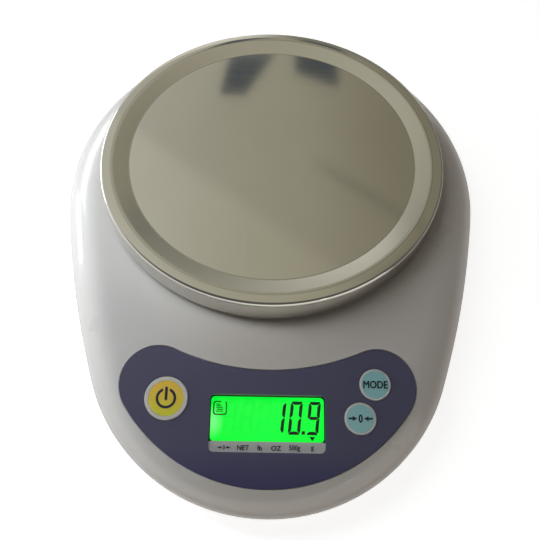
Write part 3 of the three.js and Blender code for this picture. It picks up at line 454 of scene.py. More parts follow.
def piece(name, bm, look, body, *stands_for, slot=None, place=None, sharp=SHARP):
    """A finished piece in metres, riding on its body. One without a body is left without a parent."""
    bmesh.ops.remove_doubles(bm, verts=bm.verts, dist=0.0005)
    if place:
        bmesh.ops.transform(bm, matrix=place, verts=bm.verts)
    bmesh.ops.scale(bm, vec=(MM, MM, MM), verts=bm.verts)
    bmesh.ops.recalc_face_normals(bm, faces=bm.faces)
    for face in bm.faces:
        face.smooth = True
    for edge in bm.edges:
        edge.smooth = edge.calc_face_angle(0) < sharp
    obj = linked(name, closed(bm, name))
    if isinstance(look, str):
        look = LOOKS[look]
    obj.data.materials.append(look)
    if body:
        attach(obj, body)
    if stands_for:
        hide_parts(*stands_for)
    return obj


def as_object(bm):
    """A helper solid in millimetres, for a cut or a join."""
    bmesh.ops.remove_doubles(bm, verts=bm.verts, dist=0.0005)
    bmesh.ops.recalc_face_normals(bm, faces=bm.faces)
    return linked("helper", closed(bm))


def combine(base, operation, *tools):
    """The base with each tool cut from it or joined to it in turn."""
    whole = as_object(base)
    for tool in tools:
        other = as_object(tool)
        step = whole.modifiers.new("step", "BOOLEAN")
        step.operation = operation
        step.solver = "EXACT"
        step.object = other
        graph = bpy.context.evaluated_depsgraph_get()
        made = bpy.data.meshes.new_from_object(whole.evaluated_get(graph))
        whole.modifiers.clear()
        whole.data = made
        bpy.data.objects.remove(other)
    bm = edit(whole.data)
    bpy.data.objects.remove(whole)
    return bm


def plan_chain(bm, start, arcs):
    """A closed outline of arcs, joined by straight lines.

    Each arc has its centre, turn, steps and first point, which is None where it goes on from the
    last point. An arc without steps is a plain corner.
    """
    first = last = bm.verts.new((*start, 0))
    for centre, turn, steps, begin in arcs:
        if begin is not None:
            made = bmesh.ops.extrude_vert_indiv(bm, verts=[last])["verts"][0]
            made.co = (*begin, 0)
            last = made
        if steps:
            spun = bmesh.ops.spin(
                bm, geom=[last], cent=(*centre, 0), axis=(0, 0, 1), angle=turn, steps=steps,
                use_merge=False, use_duplicate=False)
            last = next(g for g in spun["geom_last"] if isinstance(g, bmesh.types.BMVert))
    if (last.co - first.co).length > 0.001:
        bm.edges.new((last, first))
    bmesh.ops.remove_doubles(bm, verts=bm.verts, dist=0.001)
    return bmesh.ops.contextual_create(bm, geom=bm.edges[:])["faces"]


def thicken(bm, faces, height):
    grown = bmesh.ops.extrude_face_region(bm, geom=faces)
    raised = [g for g in grown["geom"] if isinstance(g, bmesh.types.BMVert)]
    bmesh.ops.translate(bm, vec=(0, 0, height), verts=raised)


def rounded_plate(width, height, corner, low, high, x=0, y=0, steps=8):
    """A plate with round corners between two heights."""
    bm = edit()
    right, top = width / 2 - corner, height / 2 - corner
    quarter = math.pi / 2
    corners = [((x + right, y + top), (x + right + corner, y + top)),
               ((x - right, y + top), (x - right, y + top + corner)),
               ((x - right, y - top), (x - right - corner, y - top)),
               ((x + right, y - top), (x + right, y - top - corner))]
    arcs = [(centre, quarter, steps, begin) for centre, begin in corners]
    faces = plan_chain(bm, corners[0][1], [(*arcs[0][:3], None), *arcs[1:]])
    bmesh.ops.translate(bm, vec=(0, 0, low), verts=bm.verts)
    thicken(bm, faces, high - low)
    return bm


def turned(profile, steps=96):
    """A solid of revolution about the upright axis."""
    bm = edit()
    last = bm.verts.new((profile[0][0], 0, profile[0][1]))
    for radius, height in profile[1:]:
        last = bmesh.ops.extrude_vert_indiv(bm, verts=[last])["verts"][0]
        last.co = (radius, 0, height)
    bmesh.ops.spin(bm, geom=bm.verts[:] + bm.edges[:], cent=(0, 0, 0), axis=(0, 0, 1),
                   angle=math.tau, steps=steps, use_merge=True, use_duplicate=False)
    bmesh.ops.remove_doubles(bm, verts=bm.verts, dist=0.0005)
    flat = [f for f in bm.faces if f.calc_area() < 1e-9]
    bmesh.ops.delete(bm, geom=flat, context="FACES_ONLY")
    return bm


def box(width, length, low, high, x=0, y=0, bevel=0.0):
    bm = edit()
    size = Matrix.Diagonal((width, length, high - low, 1))
    bmesh.ops.create_cube(bm, size=1, matrix=Matrix.Translation((x, y, (low + high) / 2)) @ size)
    if bevel:
        soften(bm, bevel)
    return bm


def triangle(radius, thickness):
    """A flat arrow head that points along Y."""
    bm = edit()
    bmesh.ops.create_circle(bm, cap_ends=True, radius=radius, segments=3)
    thicken(bm, bm.faces[:], thickness)
    return bm


def soften(bm, width, segments=3, above=math.radians(30)):
    edges = [e for e in bm.edges if e.calc_face_angle(0) > above]
    bmesh.ops.bevel(bm, geom=edges, offset=width, segments=segments, profile=0.5, material=-1,
                    affect="EDGES", clamp_overlap=True)


def rod(radius, low, high, x=0, y=0, steps=48, bevel=0.0):
    profile = [(0, low), (radius - bevel, low)]
    if bevel:
        profile += [(radius, low + bevel), (radius, high - bevel)]
    else:
        profile += [(radius, low), (radius, high)]
    profile += [(radius - bevel, high), (0, high)]
    return placed(turned(profile, steps), Matrix.Translation((x, y, 0)))


def placed(bm, matrix):
    bmesh.ops.transform(bm, matrix=matrix, verts=bm.verts)
    return bm


def gathered(*parts):
    """Several solids in one mesh."""
    whole = edit()
    for part in parts:
        mesh = closed(part)
        whole.from_mesh(mesh)
        bpy.data.meshes.remove(mesh)
    return whole


def lofted(rings):
    """A closed skin: the first ring is capped, then drawn out ring by ring, and the last is capped."""
    bm = edit()
    made = bmesh.ops.create_circle(bm, cap_ends=False, radius=1, segments=len(rings[0]))
    ring = sorted(made["verts"], key=lambda v: v.index)
    for vert, place in zip(ring, rings[0]):
        vert.co = place
    edges = bm.edges[:]
    caps = [edges]
    for places in rings[1:]:
        geom = bmesh.ops.extrude_edge_only(bm, edges=edges)["geom"]
        edges = [g for g in geom if isinstance(g, bmesh.types.BMEdge)]
        verts = [g for g in geom if isinstance(g, bmesh.types.BMVert)]
        ring = order_like(ring, verts)
        for vert, place in zip(ring, places):
            vert.co = place
    caps.append([e for e in bm.edges if e.is_boundary and e.verts[0] in set(ring)])
    for loop in caps:
        bmesh.ops.contextual_create(bm, geom=[e for e in loop if e.is_valid])
    return bm


def order_like(ring, verts):
    """The drawn-out vertices in the order of the ring that they came from."""
    fresh = set(verts)
    return [next(e.other_vert(v) for e in v.link_edges if e.other_vert(v) in fresh) for v in ring]


# Housing plan and crown

flank_along = (((FLANK_RADIUS - REAR_RADIUS) ** 2 - (FLANK_RADIUS - NOSE_RADIUS) ** 2 + ARC_DISTANCE ** 2)
               / (2 * ARC_DISTANCE))
FLANK_X = -math.sqrt((FLANK_RADIUS - REAR_RADIUS) ** 2 - flank_along ** 2)
FLANK_Y = PLATTER_Y - flank_along
FLANK_TOP = math.atan2(PLATTER_Y - FLANK_Y, -FLANK_X)
FLANK_END = math.atan2(NOSE_Y - FLANK_Y, -FLANK_X)


def plan_point(angle, inset):
    """The point of the housing's outline whose outward normal has this angle, moved in by an inset."""
    turned_to = math.atan2(math.sin(angle), abs(math.cos(angle)))
    x, y, radius = 0, PLATTER_Y, REAR_RADIUS
    if turned_to < FLANK_TOP:
        x, y, radius = FLANK_X, FLANK_Y, FLANK_RADIUS
    if turned_to < FLANK_END:
        x, y, radius = 0, NOSE_Y, NOSE_RADIUS
    side = -1 if math.cos(angle) < 0 else 1
    reach = radius - inset
    return side * (x + reach * math.cos(turned_to)), y + reach * math.sin(turned_to)


def spread(start, end, steps):
    return [start + (end - start) * i / steps for i in range(steps)]


right_angles = (spread(math.pi / 2, FLANK_TOP, 64) + spread(FLANK_TOP, FLANK_END, 18)
                + spread(FLANK_END, -math.pi / 2, 62))
PLAN_ANGLES = right_angles + [-math.pi / 2] + [-math.pi - a for a in right_angles[:0:-1]]


def smooth_low(a, b, blend):
    overlap = max(blend - abs(a - b), 0)
    return min(a, b) - overlap ** 2 / (4 * blend)


def panel_height(y):
    return PANEL_HEIGHT + math.tan(TILT) * (y - DISPLAY_Y)


SLOPE_DROP = DECK_HEIGHT - panel_height(PLATTER_Y - SLOPE_RADIUS)


def crown_height(x, y):
    reach = math.hypot(x, y - PLATTER_Y)
    cone = DECK_HEIGHT - SLOPE_DROP * (reach - DECK_RADIUS) / (SLOPE_RADIUS - DECK_RADIUS)
    front = -smooth_low(-cone, -panel_height(y), 1)
    return smooth_low(DECK_HEIGHT, front, 3)


def cover_column(angle, depth, dense):
    """One half-section of the cover's skin, from the deck out to the seam.

    The points lie closest where the deck turns into the cone and the cone into the panel.
    """
    forward = max(0, -math.sin(angle))
    run = SIDE_RUN + (NOSE_RUN - SIDE_RUN) * forward
    across, along = plan_point(angle, run + depth)
    along -= PLATTER_Y
    reach = math.hypot(across, along)
    start = min(DECK_RADIUS - 4, reach * 0.94)
    toe = min(SLOPE_RADIUS + 2.5, start + (reach - start) * 0.8)
    radii = [start * 0.55, start * 0.8]
    radii += spread(start, toe, 22 if dense else 8) + spread(toe, reach, 8 if dense else 3)
    column = []
    for radius in radii:
        x, y = across * radius / reach, PLATTER_Y + along * radius / reach
        column.append((x, y, crown_height(x, y) - depth))
    edge_x, edge_y = plan_point(angle, depth)
    fall = FALL_SHARE * (crown_height(edge_x, edge_y) - BELT_HEIGHT)
    steps = 18 if dense else 8
    for step in range(steps + 1):
        turn = step / steps * math.pi / 2
        x, y = plan_point(angle, depth + run * (1 - math.sin(turn)))
        column.append((x, y, crown_height(x, y) - depth - fall * (1 - math.cos(turn))))
    top = column[-1][2]
    for step in range(1, 4):
        column.append((edge_x, edge_y, top + (BELT_HEIGHT - top) * step / 3))
    for step in range(1, 5):
        share = step / 4
        x, y = plan_point(angle, depth + SEAM_INSET * share ** 1.6)
        column.append((x, y, BELT_HEIGHT + (SEAM_HEIGHT - BELT_HEIGHT) * share))
    return column


def plan_ring(inset, height):
    return [(*plan_point(angle, inset), height) for angle in PLAN_ANGLES]


def cover_rings(depth, dense):
    columns = [cover_column(angle, depth, dense) for angle in PLAN_ANGLES]
    return [list(ring) for ring in zip(*columns)]


def label_solid(grow, low, high):
    """The label's outline as an upright solid whose faces follow the panel's tilt."""
    bm = edit()
    nose, lobe = (0, NOSE_Y), PLATTER_Y - LOBE_REACH
    low_turn = math.atan2(LOBE_REACH - ARC_DISTANCE, LOBE_ACROSS)
    back_turn = math.atan2(LOBE_REACH, LOBE_ACROSS)
    radius = LOW_RADIUS + grow
    start = (-radius * math.cos(low_turn), NOSE_Y - radius * math.sin(low_turn))
    around = math.pi - back_turn + low_turn
    arcs = [(nose, math.pi - 2 * low_turn, 96, None),
            ((LOBE_ACROSS, lobe), around, 40, None),
            ((0, PLATTER_Y), -(math.pi - 2 * back_turn), 64, None),
            ((-LOBE_ACROSS, lobe), around, 40, None)]
    faces = plan_chain(bm, start, arcs)
    thicken(bm, faces, (high - low) / math.cos(TILT))
    for vert in bm.verts:
        vert.co.z += panel_height(vert.co.y) + low / math.cos(TILT)
    return bm


def on_panel(bm):
    return placed(bm, PANEL)


def window_plate(around, low, high, corner=WINDOW_CORNER):
    """A plate with the window's outline, wider than the window by a margin all around."""
    length, width = WINDOW_LENGTH + around * 2, WINDOW_WIDTH + around * 2
    return rounded_plate(length, width, corner, low, high, 0, WINDOW_Y)


def key_holes():
    return gathered(*[on_panel(rod(radius + GAP, -8, 4, x, y)) for x, y, radius in KEYS.values()])


# Housing

def top_cover():
    rings = cover_rings(0, True) + cover_rings(WALL, False)[::-1]
    shell = lofted(rings)
    collar_wall = 1.2
    length, width = BOSS_LENGTH + BOSS_CLEARANCE * 2, BOSS_WIDTH + BOSS_CLEARANCE * 2
    middle = (BOLT_MIDDLE, PLATTER_Y)
    collar = rounded_plate(length + collar_wall * 2, width + collar_wall * 2, 3,
                           DECK_HEIGHT - 1, DECK_HEIGHT + 1.2, *middle)
    shell = combine(shell, "UNION", collar)
    shell = combine(shell, "UNION", on_panel(window_plate(2, -3.4, -1)))
    cuts = [label_solid(GAP, -0.7, 6),
            on_panel(window_plate(GAP, -2.2, 4)),
            on_panel(rounded_plate(VIEW_LENGTH, VIEW_WIDTH, 1.2, -8, 4)),
            rounded_plate(length, width, 3, DECK_HEIGHT - 8, DECK_HEIGHT + 4, *middle),
            key_holes()]
    shell = combine(shell, "DIFFERENCE", *cuts)
    piece("housing_cover", shell, "cover_white", "housing", "top_cover")


def label():
    film = label_solid(0, -0.4, 0)
    opening = on_panel(window_plate(-LABEL_OVERLAP, -4, 4, 2))
    film = combine(film, "DIFFERENCE", opening, key_holes())
    piece("label_film", film, "label_film", "housing", "label_overlay")


def base_rings(depth, low):
    """The base's curved side, from its flat underside out to the seam."""
    rings = []
    top = SEAM_HEIGHT - GAP
    for step in range(11):
        turn = step / 10 * math.pi / 2
        inset = SEAM_INSET + (BOTTOM_INSET - SEAM_INSET) * (1 - math.sin(turn)) + depth
        rings.append(plan_ring(inset, low + (top - low) * (1 - math.cos(turn))))
    return rings


def screw_places():
    return [plan_point(math.radians(a), CASE_SCREW_INSET) for a in (22, 158, -22, -158)]


def foot_places():
    return [plan_point(math.radians(a), FOOT_INSET) for a in (40, 140, -45, -135)]


def base():
    lip, lip_wall, lip_rise = SEAM_INSET + WALL + GAP, 1.2, 2
    seam, lip_top = SEAM_HEIGHT - GAP, SEAM_HEIGHT - GAP + lip_rise
    rings = base_rings(0, FOOT_HEIGHT)
    rings += [plan_ring(lip, seam), plan_ring(lip, lip_top), plan_ring(lip + lip_wall, lip_top)]
    rings += base_rings(lip + lip_wall - SEAM_INSET, FOOT_HEIGHT + WALL)[::-1]
    shell = lofted(rings)
    below, root, bay_top = 1, FOOT_HEIGHT + 1, 22.6
    bay = box((BAY_HALF + BAY_WALL) * 2, (BAY_DEPTH + BAY_WALL) * 2, root, bay_top, 0, BAY_Y)
    rails = box(BAY_HALF * 2 + 6, 34, root, 7.5, 0, (DOOR_FRONT + DOOR_REAR) / 2)
    pedestal = box(26, 20.7, root, 10.4, -BOLT_MIDDLE, PLATTER_Y)
    posts = [rod(4.5, root, 15, x, y, 32) for x, y in screw_places()]
    stop = rod(5, root, 11, BOLT_MIDDLE, PLATTER_Y, 32)
    shell = combine(shell, "UNION", bay, rails, gathered(pedestal, stop, *posts))
    track_length = LENGTH / 2 + 2 - DOOR_FRONT + GAP
    track_y = DOOR_FRONT - GAP + track_length / 2
    track_half = DOOR_HALF + GAP
    bolts = [(-x, PLATTER_Y) for x in BOLTS]
    wells = [rod(FOOT_RADIUS + GAP, below, FOOT_HEIGHT + 1, x, y) for x, y in foot_places()]
    wells += [rod(CASE_HEAD + GAP, below, 9, x, y) for x, y in screw_places()]
    wells += [rod(BOLT_HEAD + GAP, below, 6.5, x, y) for x, y in bolts]
    wells += [rod(2.3, below, 14, BOLT_MIDDLE, PLATTER_Y, 24)]
    bores = [rod(CASE_SHANK + GAP, 8, 18, x, y, 24) for x, y in screw_places()]
    bores += [rod(BOLT_SHANK + GAP, 6, 12, x, y, 24) for x, y in bolts]
    shell = combine(
        shell, "DIFFERENCE",
        box(BAY_HALF * 2, BAY_DEPTH * 2, DOOR_TOP, bay_top - BAY_WALL, 0, BAY_Y),
        box(track_half * 2, track_length, below, DOOR_TOP + 0.1, 0, track_y),
        box((track_half + DOOR_FLANGE) * 2, track_length, FLANGE_LOW - GAP, DOOR_TOP + GAP, 0, track_y),
        gathered(*wells), gathered(*bores))
    piece("housing_base", shell, "base_plastic", "housing", "base_shell")


def battery_door():
    """A sliding door with flanges, finger grooves and an arrow pressed into it."""
    length = DOOR_REAR - DOOR_FRONT
    middle = (DOOR_REAR + DOOR_FRONT) / 2
    plate = box(DOOR_HALF * 2, length, FOOT_HEIGHT, DOOR_TOP, 0, middle, 0.35)
    flanges = box((DOOR_HALF + DOOR_FLANGE) * 2, length - 0.2, FLANGE_LOW, DOOR_TOP, 0, middle, 0.2)
    door = combine(plate, "UNION", flanges)
    grooves = gathered(*[box(26, 1, 1, 3.5, 0, DOOR_REAR - 2.6 * (i + 1), 0.2) for i in range(4)])
    arrow = placed(triangle(3.6, 1.4), Matrix.Translation((0, DOOR_REAR - 15, 2)))
    piece("battery_cover", combine(door, "DIFFERENCE", grooves, arrow),
          "base_plastic", "battery_door", "battery_door")


def feet():
    """Rubber feet with a shallow cup below, in pockets of the base."""
    top = FOOT_HEIGHT + 0.7
    profile = [(0, 0.35), (4.2, 0.35), (4.8, 0), (6.2, 0), (6.7, 0.2), (FOOT_RADIUS, 0.8),
               (FOOT_RADIUS, top), (0, top)]
    for i, (x, y) in enumerate(foot_places(), 1):
        piece(f"rubber_foot_{i}", turned(profile, 64), "foot_rubber", "housing", f"foot_{i}",
              place=Matrix.Translation((x, y, 0)))


def cross_screw(head, shank, length, x, y, z, over=False):
    """A low round head with a cross recess, on a plain shank."""
    tip = HEAD_HEIGHT + length
    profile = [(0, 0), (head * 0.8, 0), (head * 0.95, HEAD_HEIGHT * 0.25), (head, HEAD_HEIGHT * 0.6),
               (head, HEAD_HEIGHT), (shank, HEAD_HEIGHT), (shank, tip - shank), (shank * 0.5, tip),
               (0, tip)]
    slots = [box(head * 1.1, head * 0.26, -1, HEAD_HEIGHT * 0.55),
             box(head * 0.26, head * 1.1, -1, HEAD_HEIGHT * 0.55)]
    body = combine(turned(profile, 32), "DIFFERENCE", *slots)
    turn = Matrix.Rotation(math.pi if over else 0, 4, "X")
    return placed(body, Matrix.Translation((x, y, z)) @ turn)


def screws():
    for i, (x, y) in enumerate(screw_places(), 1):
        screw = cross_screw(CASE_HEAD, CASE_SHANK, 14, x, y, 6.5)
        piece(f"cover_screw_{i}", screw, "screw_steel", "housing", f"case_screw_{i}")
    for i, x in enumerate(BOLTS, 1):
        screw = cross_screw(BOLT_HEAD, BOLT_SHANK, 17.8, -x, PLATTER_Y, 4)
        piece(f"beam_screw_{i}", screw, "screw_steel", "housing", f"load_cell_screw_{i}")
    for i, x in enumerate(BOLTS, 1):
        screw = cross_screw(BOLT_HEAD, BOLT_SHANK, 16.6, x, PLATTER_Y, 35.5, True)
        piece(f"carrier_screw_{i}", screw, "screw_steel", "pan_support", f"support_screw_{i}")


# Platter and carrier

def arc(cx, cz, radius, start, end, steps):
    """Points on an arc in a section, with angles in degrees from +X."""
    angles = [math.radians(start + (end - start) * i / steps) for i in range(steps + 1)]
    return [(cx + radius * math.cos(a), cz + radius * math.sin(a)) for a in angles]


def steel_platter():
    """Sunk disc, sloping ring, flat rim and turned-down skirt, then back along the underside."""
    bottom, hem = PLATTER_TOP - SKIRT_HEIGHT, 0.3
    inside = PLATTER_RADIUS - PLATTER_WALL
    bend = (PLATTER_RADIUS - EDGE_RADIUS, PLATTER_TOP - EDGE_RADIUS)
    disc = [(radius, DISC_TOP) for radius in (0, 20, 45, DISC_RADIUS - 1)]
    slope = []
    steps, flat_share = 24, 0.045
    for step in range(steps + 1):
        share = step / steps
        soft = smooth_low(max(share * (1 + flat_share * 2) - flat_share, 0), 1, 0.1)
        slope.append((DISC_RADIUS + (RING_RADIUS - DISC_RADIUS) * share,
                      DISC_TOP + (PLATTER_TOP - DISC_TOP) * soft))
    skirt = [(PLATTER_RADIUS, bottom + hem), (PLATTER_RADIUS - hem, bottom), (inside + 0.2, bottom),
             (inside, bottom + hem)]
    underside = [(RING_RADIUS, PLATTER_TOP - PLATTER_WALL), (DISC_RADIUS, DISC_TOP - PLATTER_WALL),
                 (0, DISC_TOP - PLATTER_WALL)]
    profile = (disc + slope + arc(*bend, EDGE_RADIUS, 90, 0, 10) + skirt
               + arc(*bend, EDGE_RADIUS - PLATTER_WALL, 0, 90, 6) + underside)
    piece("steel_platter", turned(profile, 256), "platter_steel", "platter", "platter",
          place=AXIS, sharp=math.radians(40))


def carrier():
    """A ribbed disc with a rim, a hoop, a boss for the beam's free end and four pads."""
    plate_top, plate_low = 45.7, 43.7
    rim_top, rim_low = 47.4, 39.4
    rib_top, rib_wall, hoop_radius = 44.5, 1.6, 30
    outside, inside, corner = CARRIER_RADIUS, CARRIER_RADIUS - 1.8, 0.4
    disc = turned([(0, plate_low), (outside, plate_low), (outside, plate_top), (0, plate_top)], 128)
    rim = turned([(inside, rim_low), (outside - corner, rim_low), (outside, rim_low + corner),
                  (outside, rim_top - corner), (outside - corner, rim_top), (inside, rim_top),
                  (inside, rim_low)], 128)
    hoop = turned([(hoop_radius - rib_wall, rim_low), (hoop_radius, rim_low), (hoop_radius, rib_top),
                   (hoop_radius - rib_wall, rib_top), (hoop_radius - rib_wall, rim_low)], 64)
    spokes = [placed(box(64.5, rib_wall, rim_low, rib_top, 32.2),
                     Matrix.Rotation((i + 0.5) * math.tau / 8, 4, "Z")) for i in range(8)]
    boss = rounded_plate(BOSS_LENGTH, BOSS_WIDTH, 3, 27, rib_top, BOLT_MIDDLE)
    whole = combine(disc, "UNION", rim, hoop, *spokes, boss)
    holes = [rod(BOLT_HEAD + GAP, 33, 50, x) for x in BOLTS]
    holes += [rod(BOLT_SHANK + GAP, 20, 34, x, steps=24) for x in BOLTS]
    piece("platter_carrier", combine(whole, "DIFFERENCE", gathered(*holes)), "carrier_plastic",
          "pan_support", "pan_support", place=AXIS)
    pad = [(0, 0), (5, 0), (5, 0.7), (4.7, 0.95), (4.4, 1), (0, 1)]
    for i in range(4):
        across, along = PAD_REACH * math.cos(i * math.pi / 2), PAD_REACH * math.sin(i * math.pi / 2)
        place = AXIS @ Matrix.Translation((across, along, plate_top + GAP))
        piece(f"rubber_pad_{i + 1}", turned(pad, 48), "foot_rubber", "pan_support", f"pan_pad_{i + 1}",
              place=place)


def load_cell():
    """The weighing beam with its double hole. Its middle is cut across at 2 mm steps."""
    middle = BEAM_LOW + BEAM_SIDE / 2
    hole_x, hole_radius, slot_half, bend_end = 6.5, 3.9, 1.3, 14
    lying = Matrix.Translation((0, PLATTER_Y, middle)) @ Matrix.Rotation(math.pi / 2, 4, "X")
    holes = gathered(*[placed(rod(hole_radius, -8, 8, x), lying) for x in (-hole_x, hole_x)])
    slot = box(hole_x * 2, 16, middle - slot_half, middle + slot_half, 0, PLATTER_Y)
    bores = gathered(*[rod(BOLT_SHANK + GAP, 12, 29, x, PLATTER_Y, 24)
                       for x in (-BOLTS[1], -BOLTS[0], *BOLTS)])
    block = box(BEAM_LENGTH, BEAM_SIDE, BEAM_LOW, BEAM_LOW + BEAM_SIDE, 0, PLATTER_Y, 0.35)
    beam = combine(block, "DIFFERENCE", holes, slot, bores)
    for x in range(-bend_end, bend_end + 1, 2):
        bmesh.ops.bisect_plane(beam, geom=beam.verts[:] + beam.edges[:] + beam.faces[:],
                               plane_co=(x, 0, 0), plane_no=(1, 0, 0))
    cell = piece("load_cell_beam", beam, "cell_aluminium", None, "load_cell")
    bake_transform(cell)


# Display

CAPITAL_SHARE = 0.69


def flat_text(words, height, depth, x, y, bold=0.0, squeeze=1.0):
    """Plain lettering on the panel, as thin solids whose capitals have the given height."""
    curve = bpy.data.curves.new("words", "FONT")
    curve.body = words
    curve.align_x, curve.align_y = "CENTER", "CENTER"
    curve.size = height / CAPITAL_SHARE
    curve.extrude = 0.03
    curve.resolution_u = 4
    writer = linked("words", curve)
    graph = bpy.context.evaluated_depsgraph_get()
    mesh = bpy.data.meshes.new_from_object(writer.evaluated_get(graph))
    bpy.data.objects.remove(writer)
    heights = [v.co.y for v in mesh.vertices]
    centred = Matrix.Translation((0, -(min(heights) + max(heights)) / 2, 0))
    copies = [placed(edit(mesh), Matrix.Translation((aside * bold, above * bold, 0)))
              for aside, above in ((0, 0), (-1, 0), (1, 0), (0, -0.7), (0, 0.7))]
    stretch = Matrix.Diagonal((squeeze, 1, 1, 1)) @ centred
    return placed(gathered(*copies), Matrix.Translation((x, y, -depth)) @ stretch)


def arrow_zero(height, depth, x, y, bold):
    """An arrow from each side towards a nought."""
    parts = [flat_text("0", height, depth, x, y, bold, 0.75)]
    for side in (-1, 1):
        shaft = box(height * 0.7, height * 0.25, -depth - 0.03, -depth + 0.03, x + side * height * 1.25, y)
        head = triangle(height * 0.4, 0.06)
        turn = Matrix.Rotation(side * math.pi / 2, 4, "Z")
        spot = Matrix.Translation((x + side * height * 0.85, y, -depth - 0.03))
        parts += [shaft, placed(head, spot @ turn)]
    return gathered(*parts)


def segment(length, depth, inner):
    """One bar of a digit along X, cut at 45 degrees on its inner side, or on both for the middle bar."""
    bm = edit()
    half, side = length / 2, STROKE / 2
    outer = half if inner else half - side
    faces = plan_chain(bm, (outer, side), [((0, 0), 0, 0, p) for p in (
        (-outer, side), (-half, 0), (side * 1.6 - half, -side), (half - side * 1.6, -side), (half, 0))])
    thicken(bm, faces, 0.05)
    return placed(bm, Matrix.Translation((0, 0, -depth)))


SEGMENTS = {"0": "abcdef", "1": "bc", "9": "abcdfg", "8": "abcdefg"}
BARS = {"a": (0, 2, 0), "g": (0, 0, 0), "d": (0, -2, 180), "f": (-1, 1, 90), "b": (1, 1, -90),
        "e": (-1, -1, 90), "c": (1, -1, -90)}
STROKE = 1.25
DIGIT_WIDTH = 3.5
DIGIT_HEIGHT = 11.5
DIGIT_Y = 0.7
LEAN = math.tan(math.radians(6))


def digit(value, x, depth):
    """A leaning seven-bar digit."""
    parts = []
    for name in SEGMENTS[value]:
        across, up, turn = BARS[name]
        length = DIGIT_HEIGHT / 2 - 0.35 if across else DIGIT_WIDTH + STROKE * 0.4
        place = Matrix.Translation((across * DIGIT_WIDTH / 2, up * DIGIT_HEIGHT / 4, 0))
        parts.append(placed(segment(length, depth, name != "g"),
                            place @ Matrix.Rotation(math.radians(turn), 4, "Z")))
    lean = Matrix.Identity(4)
    lean[0][1] = LEAN
    return placed(gathered(*parts), Matrix.Translation((x, DIGIT_Y, 0)) @ lean)


def battery_mark(x, y, depth):
    """A small round-cornered square with lines in it."""
    outer = rounded_plate(5.4, 5.4, 1.1, -depth, -depth + 0.05, x, y, 4)
    inner = rounded_plate(4.5, 4.5, 0.8, -depth - 0.1, -depth + 0.2, x, y, 4)
    gap_cut = box(1.6, 1.2, -depth - 0.1, -depth + 0.2, x + 1.2, y + 2.6)
    border = combine(outer, "DIFFERENCE", inner, gap_cut)
    lines = [box(w, 0.34, -depth, -depth + 0.05, x - 0.15 + dx, y + 1.45 - 0.68 * i)
             for i, (w, dx) in enumerate(((1.6, -0.6), (2.1, -0.3), (2.6, 0), (2.4, 0.1), (2.8, 0)))]
    return gathered(border, *lines)


def display():
    face = GLASS_DEPTH - 0.06
    glass = rounded_plate(GLASS_LENGTH, GLASS_WIDTH, 0.3, -7.1, -GLASS_DEPTH)
    soften(glass, 0.15, 2)
    piece("display_glass", glass, "lcd_green", "housing", "lcd_glass", place=PANEL)
    holder = rounded_plate(55, 29.5, 0.8, -9.4, -3.7)
    pocket = rounded_plate(GLASS_LENGTH + GAP * 2, GLASS_WIDTH + GAP * 2, 0.5, -12, GAP - GLASS_DEPTH)
    view = rounded_plate(44.3, 17.2, 1.6, -12, 0)
    piece("display_holder", combine(holder, "DIFFERENCE", pocket, view), "holder_black", "housing",
          "lcd_holder", place=PANEL)
    marks = [digit(value, x, face) for value, x in (("1", 4.5), ("0", 11.0), ("9", 18.1))]
    marks.append(rounded_plate(1.3, 1.3, 0.25, -face, -face + 0.05, 14.1, -4.9, 2))
    marks.append(battery_mark(-18.6, 4.1, face))
    flattened = Matrix.Diagonal((1, 0.75, 1, 1)) @ Matrix.Rotation(math.pi, 4, "Z")
    marks.append(placed(triangle(1.35, 0.05), Matrix.Translation((17.6, -6.9, -face)) @ flattened))
    piece("display_marks", gathered(*marks), PRINT_BLACK, "housing", slot="lcd_green", place=PANEL)
    ghosts = [digit("8", x, face + 0.02) for x in (-14.6, -8.0, -1.4)]
    piece("display_ghost_marks", gathered(*ghosts), GHOST, "housing", slot="lcd_green", place=PANEL)
    window = window_plate(0, -1.9, -0.7)
    soften(window, 0.12, 2)
    piece("display_lens", window, "window_clear", "housing", "display_window", place=PANEL)
    bar = rounded_plate(44.5, 4.2, 0.9, -0.68, -0.55, 0, -10.85, 4)
    piece("legend_bar", bar, LEGEND_BAR, "housing", slot="label_film", place=PANEL)
    words = [arrow_zero(1.5, 0.5, -16.3, LEGEND_Y, 0.05)]
    words += [flat_text(word, 1.8, 0.5, x, LEGEND_Y, 0.06, squeeze) for word, x, squeeze in (
        ("NET", -9.1, 0.95), ("lb", -2.7, 1.0), ("OZ", 3.5, 1.0), ("500g", 10.5, 0.85), ("g", 17.3, 1.0))]
    piece("legend_words", gathered(*words), PRINT_DARK, "housing", slot="label_film", place=PANEL)


# Keys

def power_mark(x, y, depth):
    """A ring open at the top, with an upright bar in the opening."""
    low, high = -depth - 0.03, -depth + 0.03
    ring = turned([(2.95, low), (3.95, low), (3.95, high), (2.95, high), (2.95, low)], 64)
    ring = combine(ring, "DIFFERENCE", box(2.6, 4, low - 1, high + 1, 0, 3.6))
    bar = rounded_plate(1.05, 5.2, 0.4, low, high, 0, 1.8, 3)
    return placed(gathered(ring, bar), Matrix.Translation((x, y, 0)))


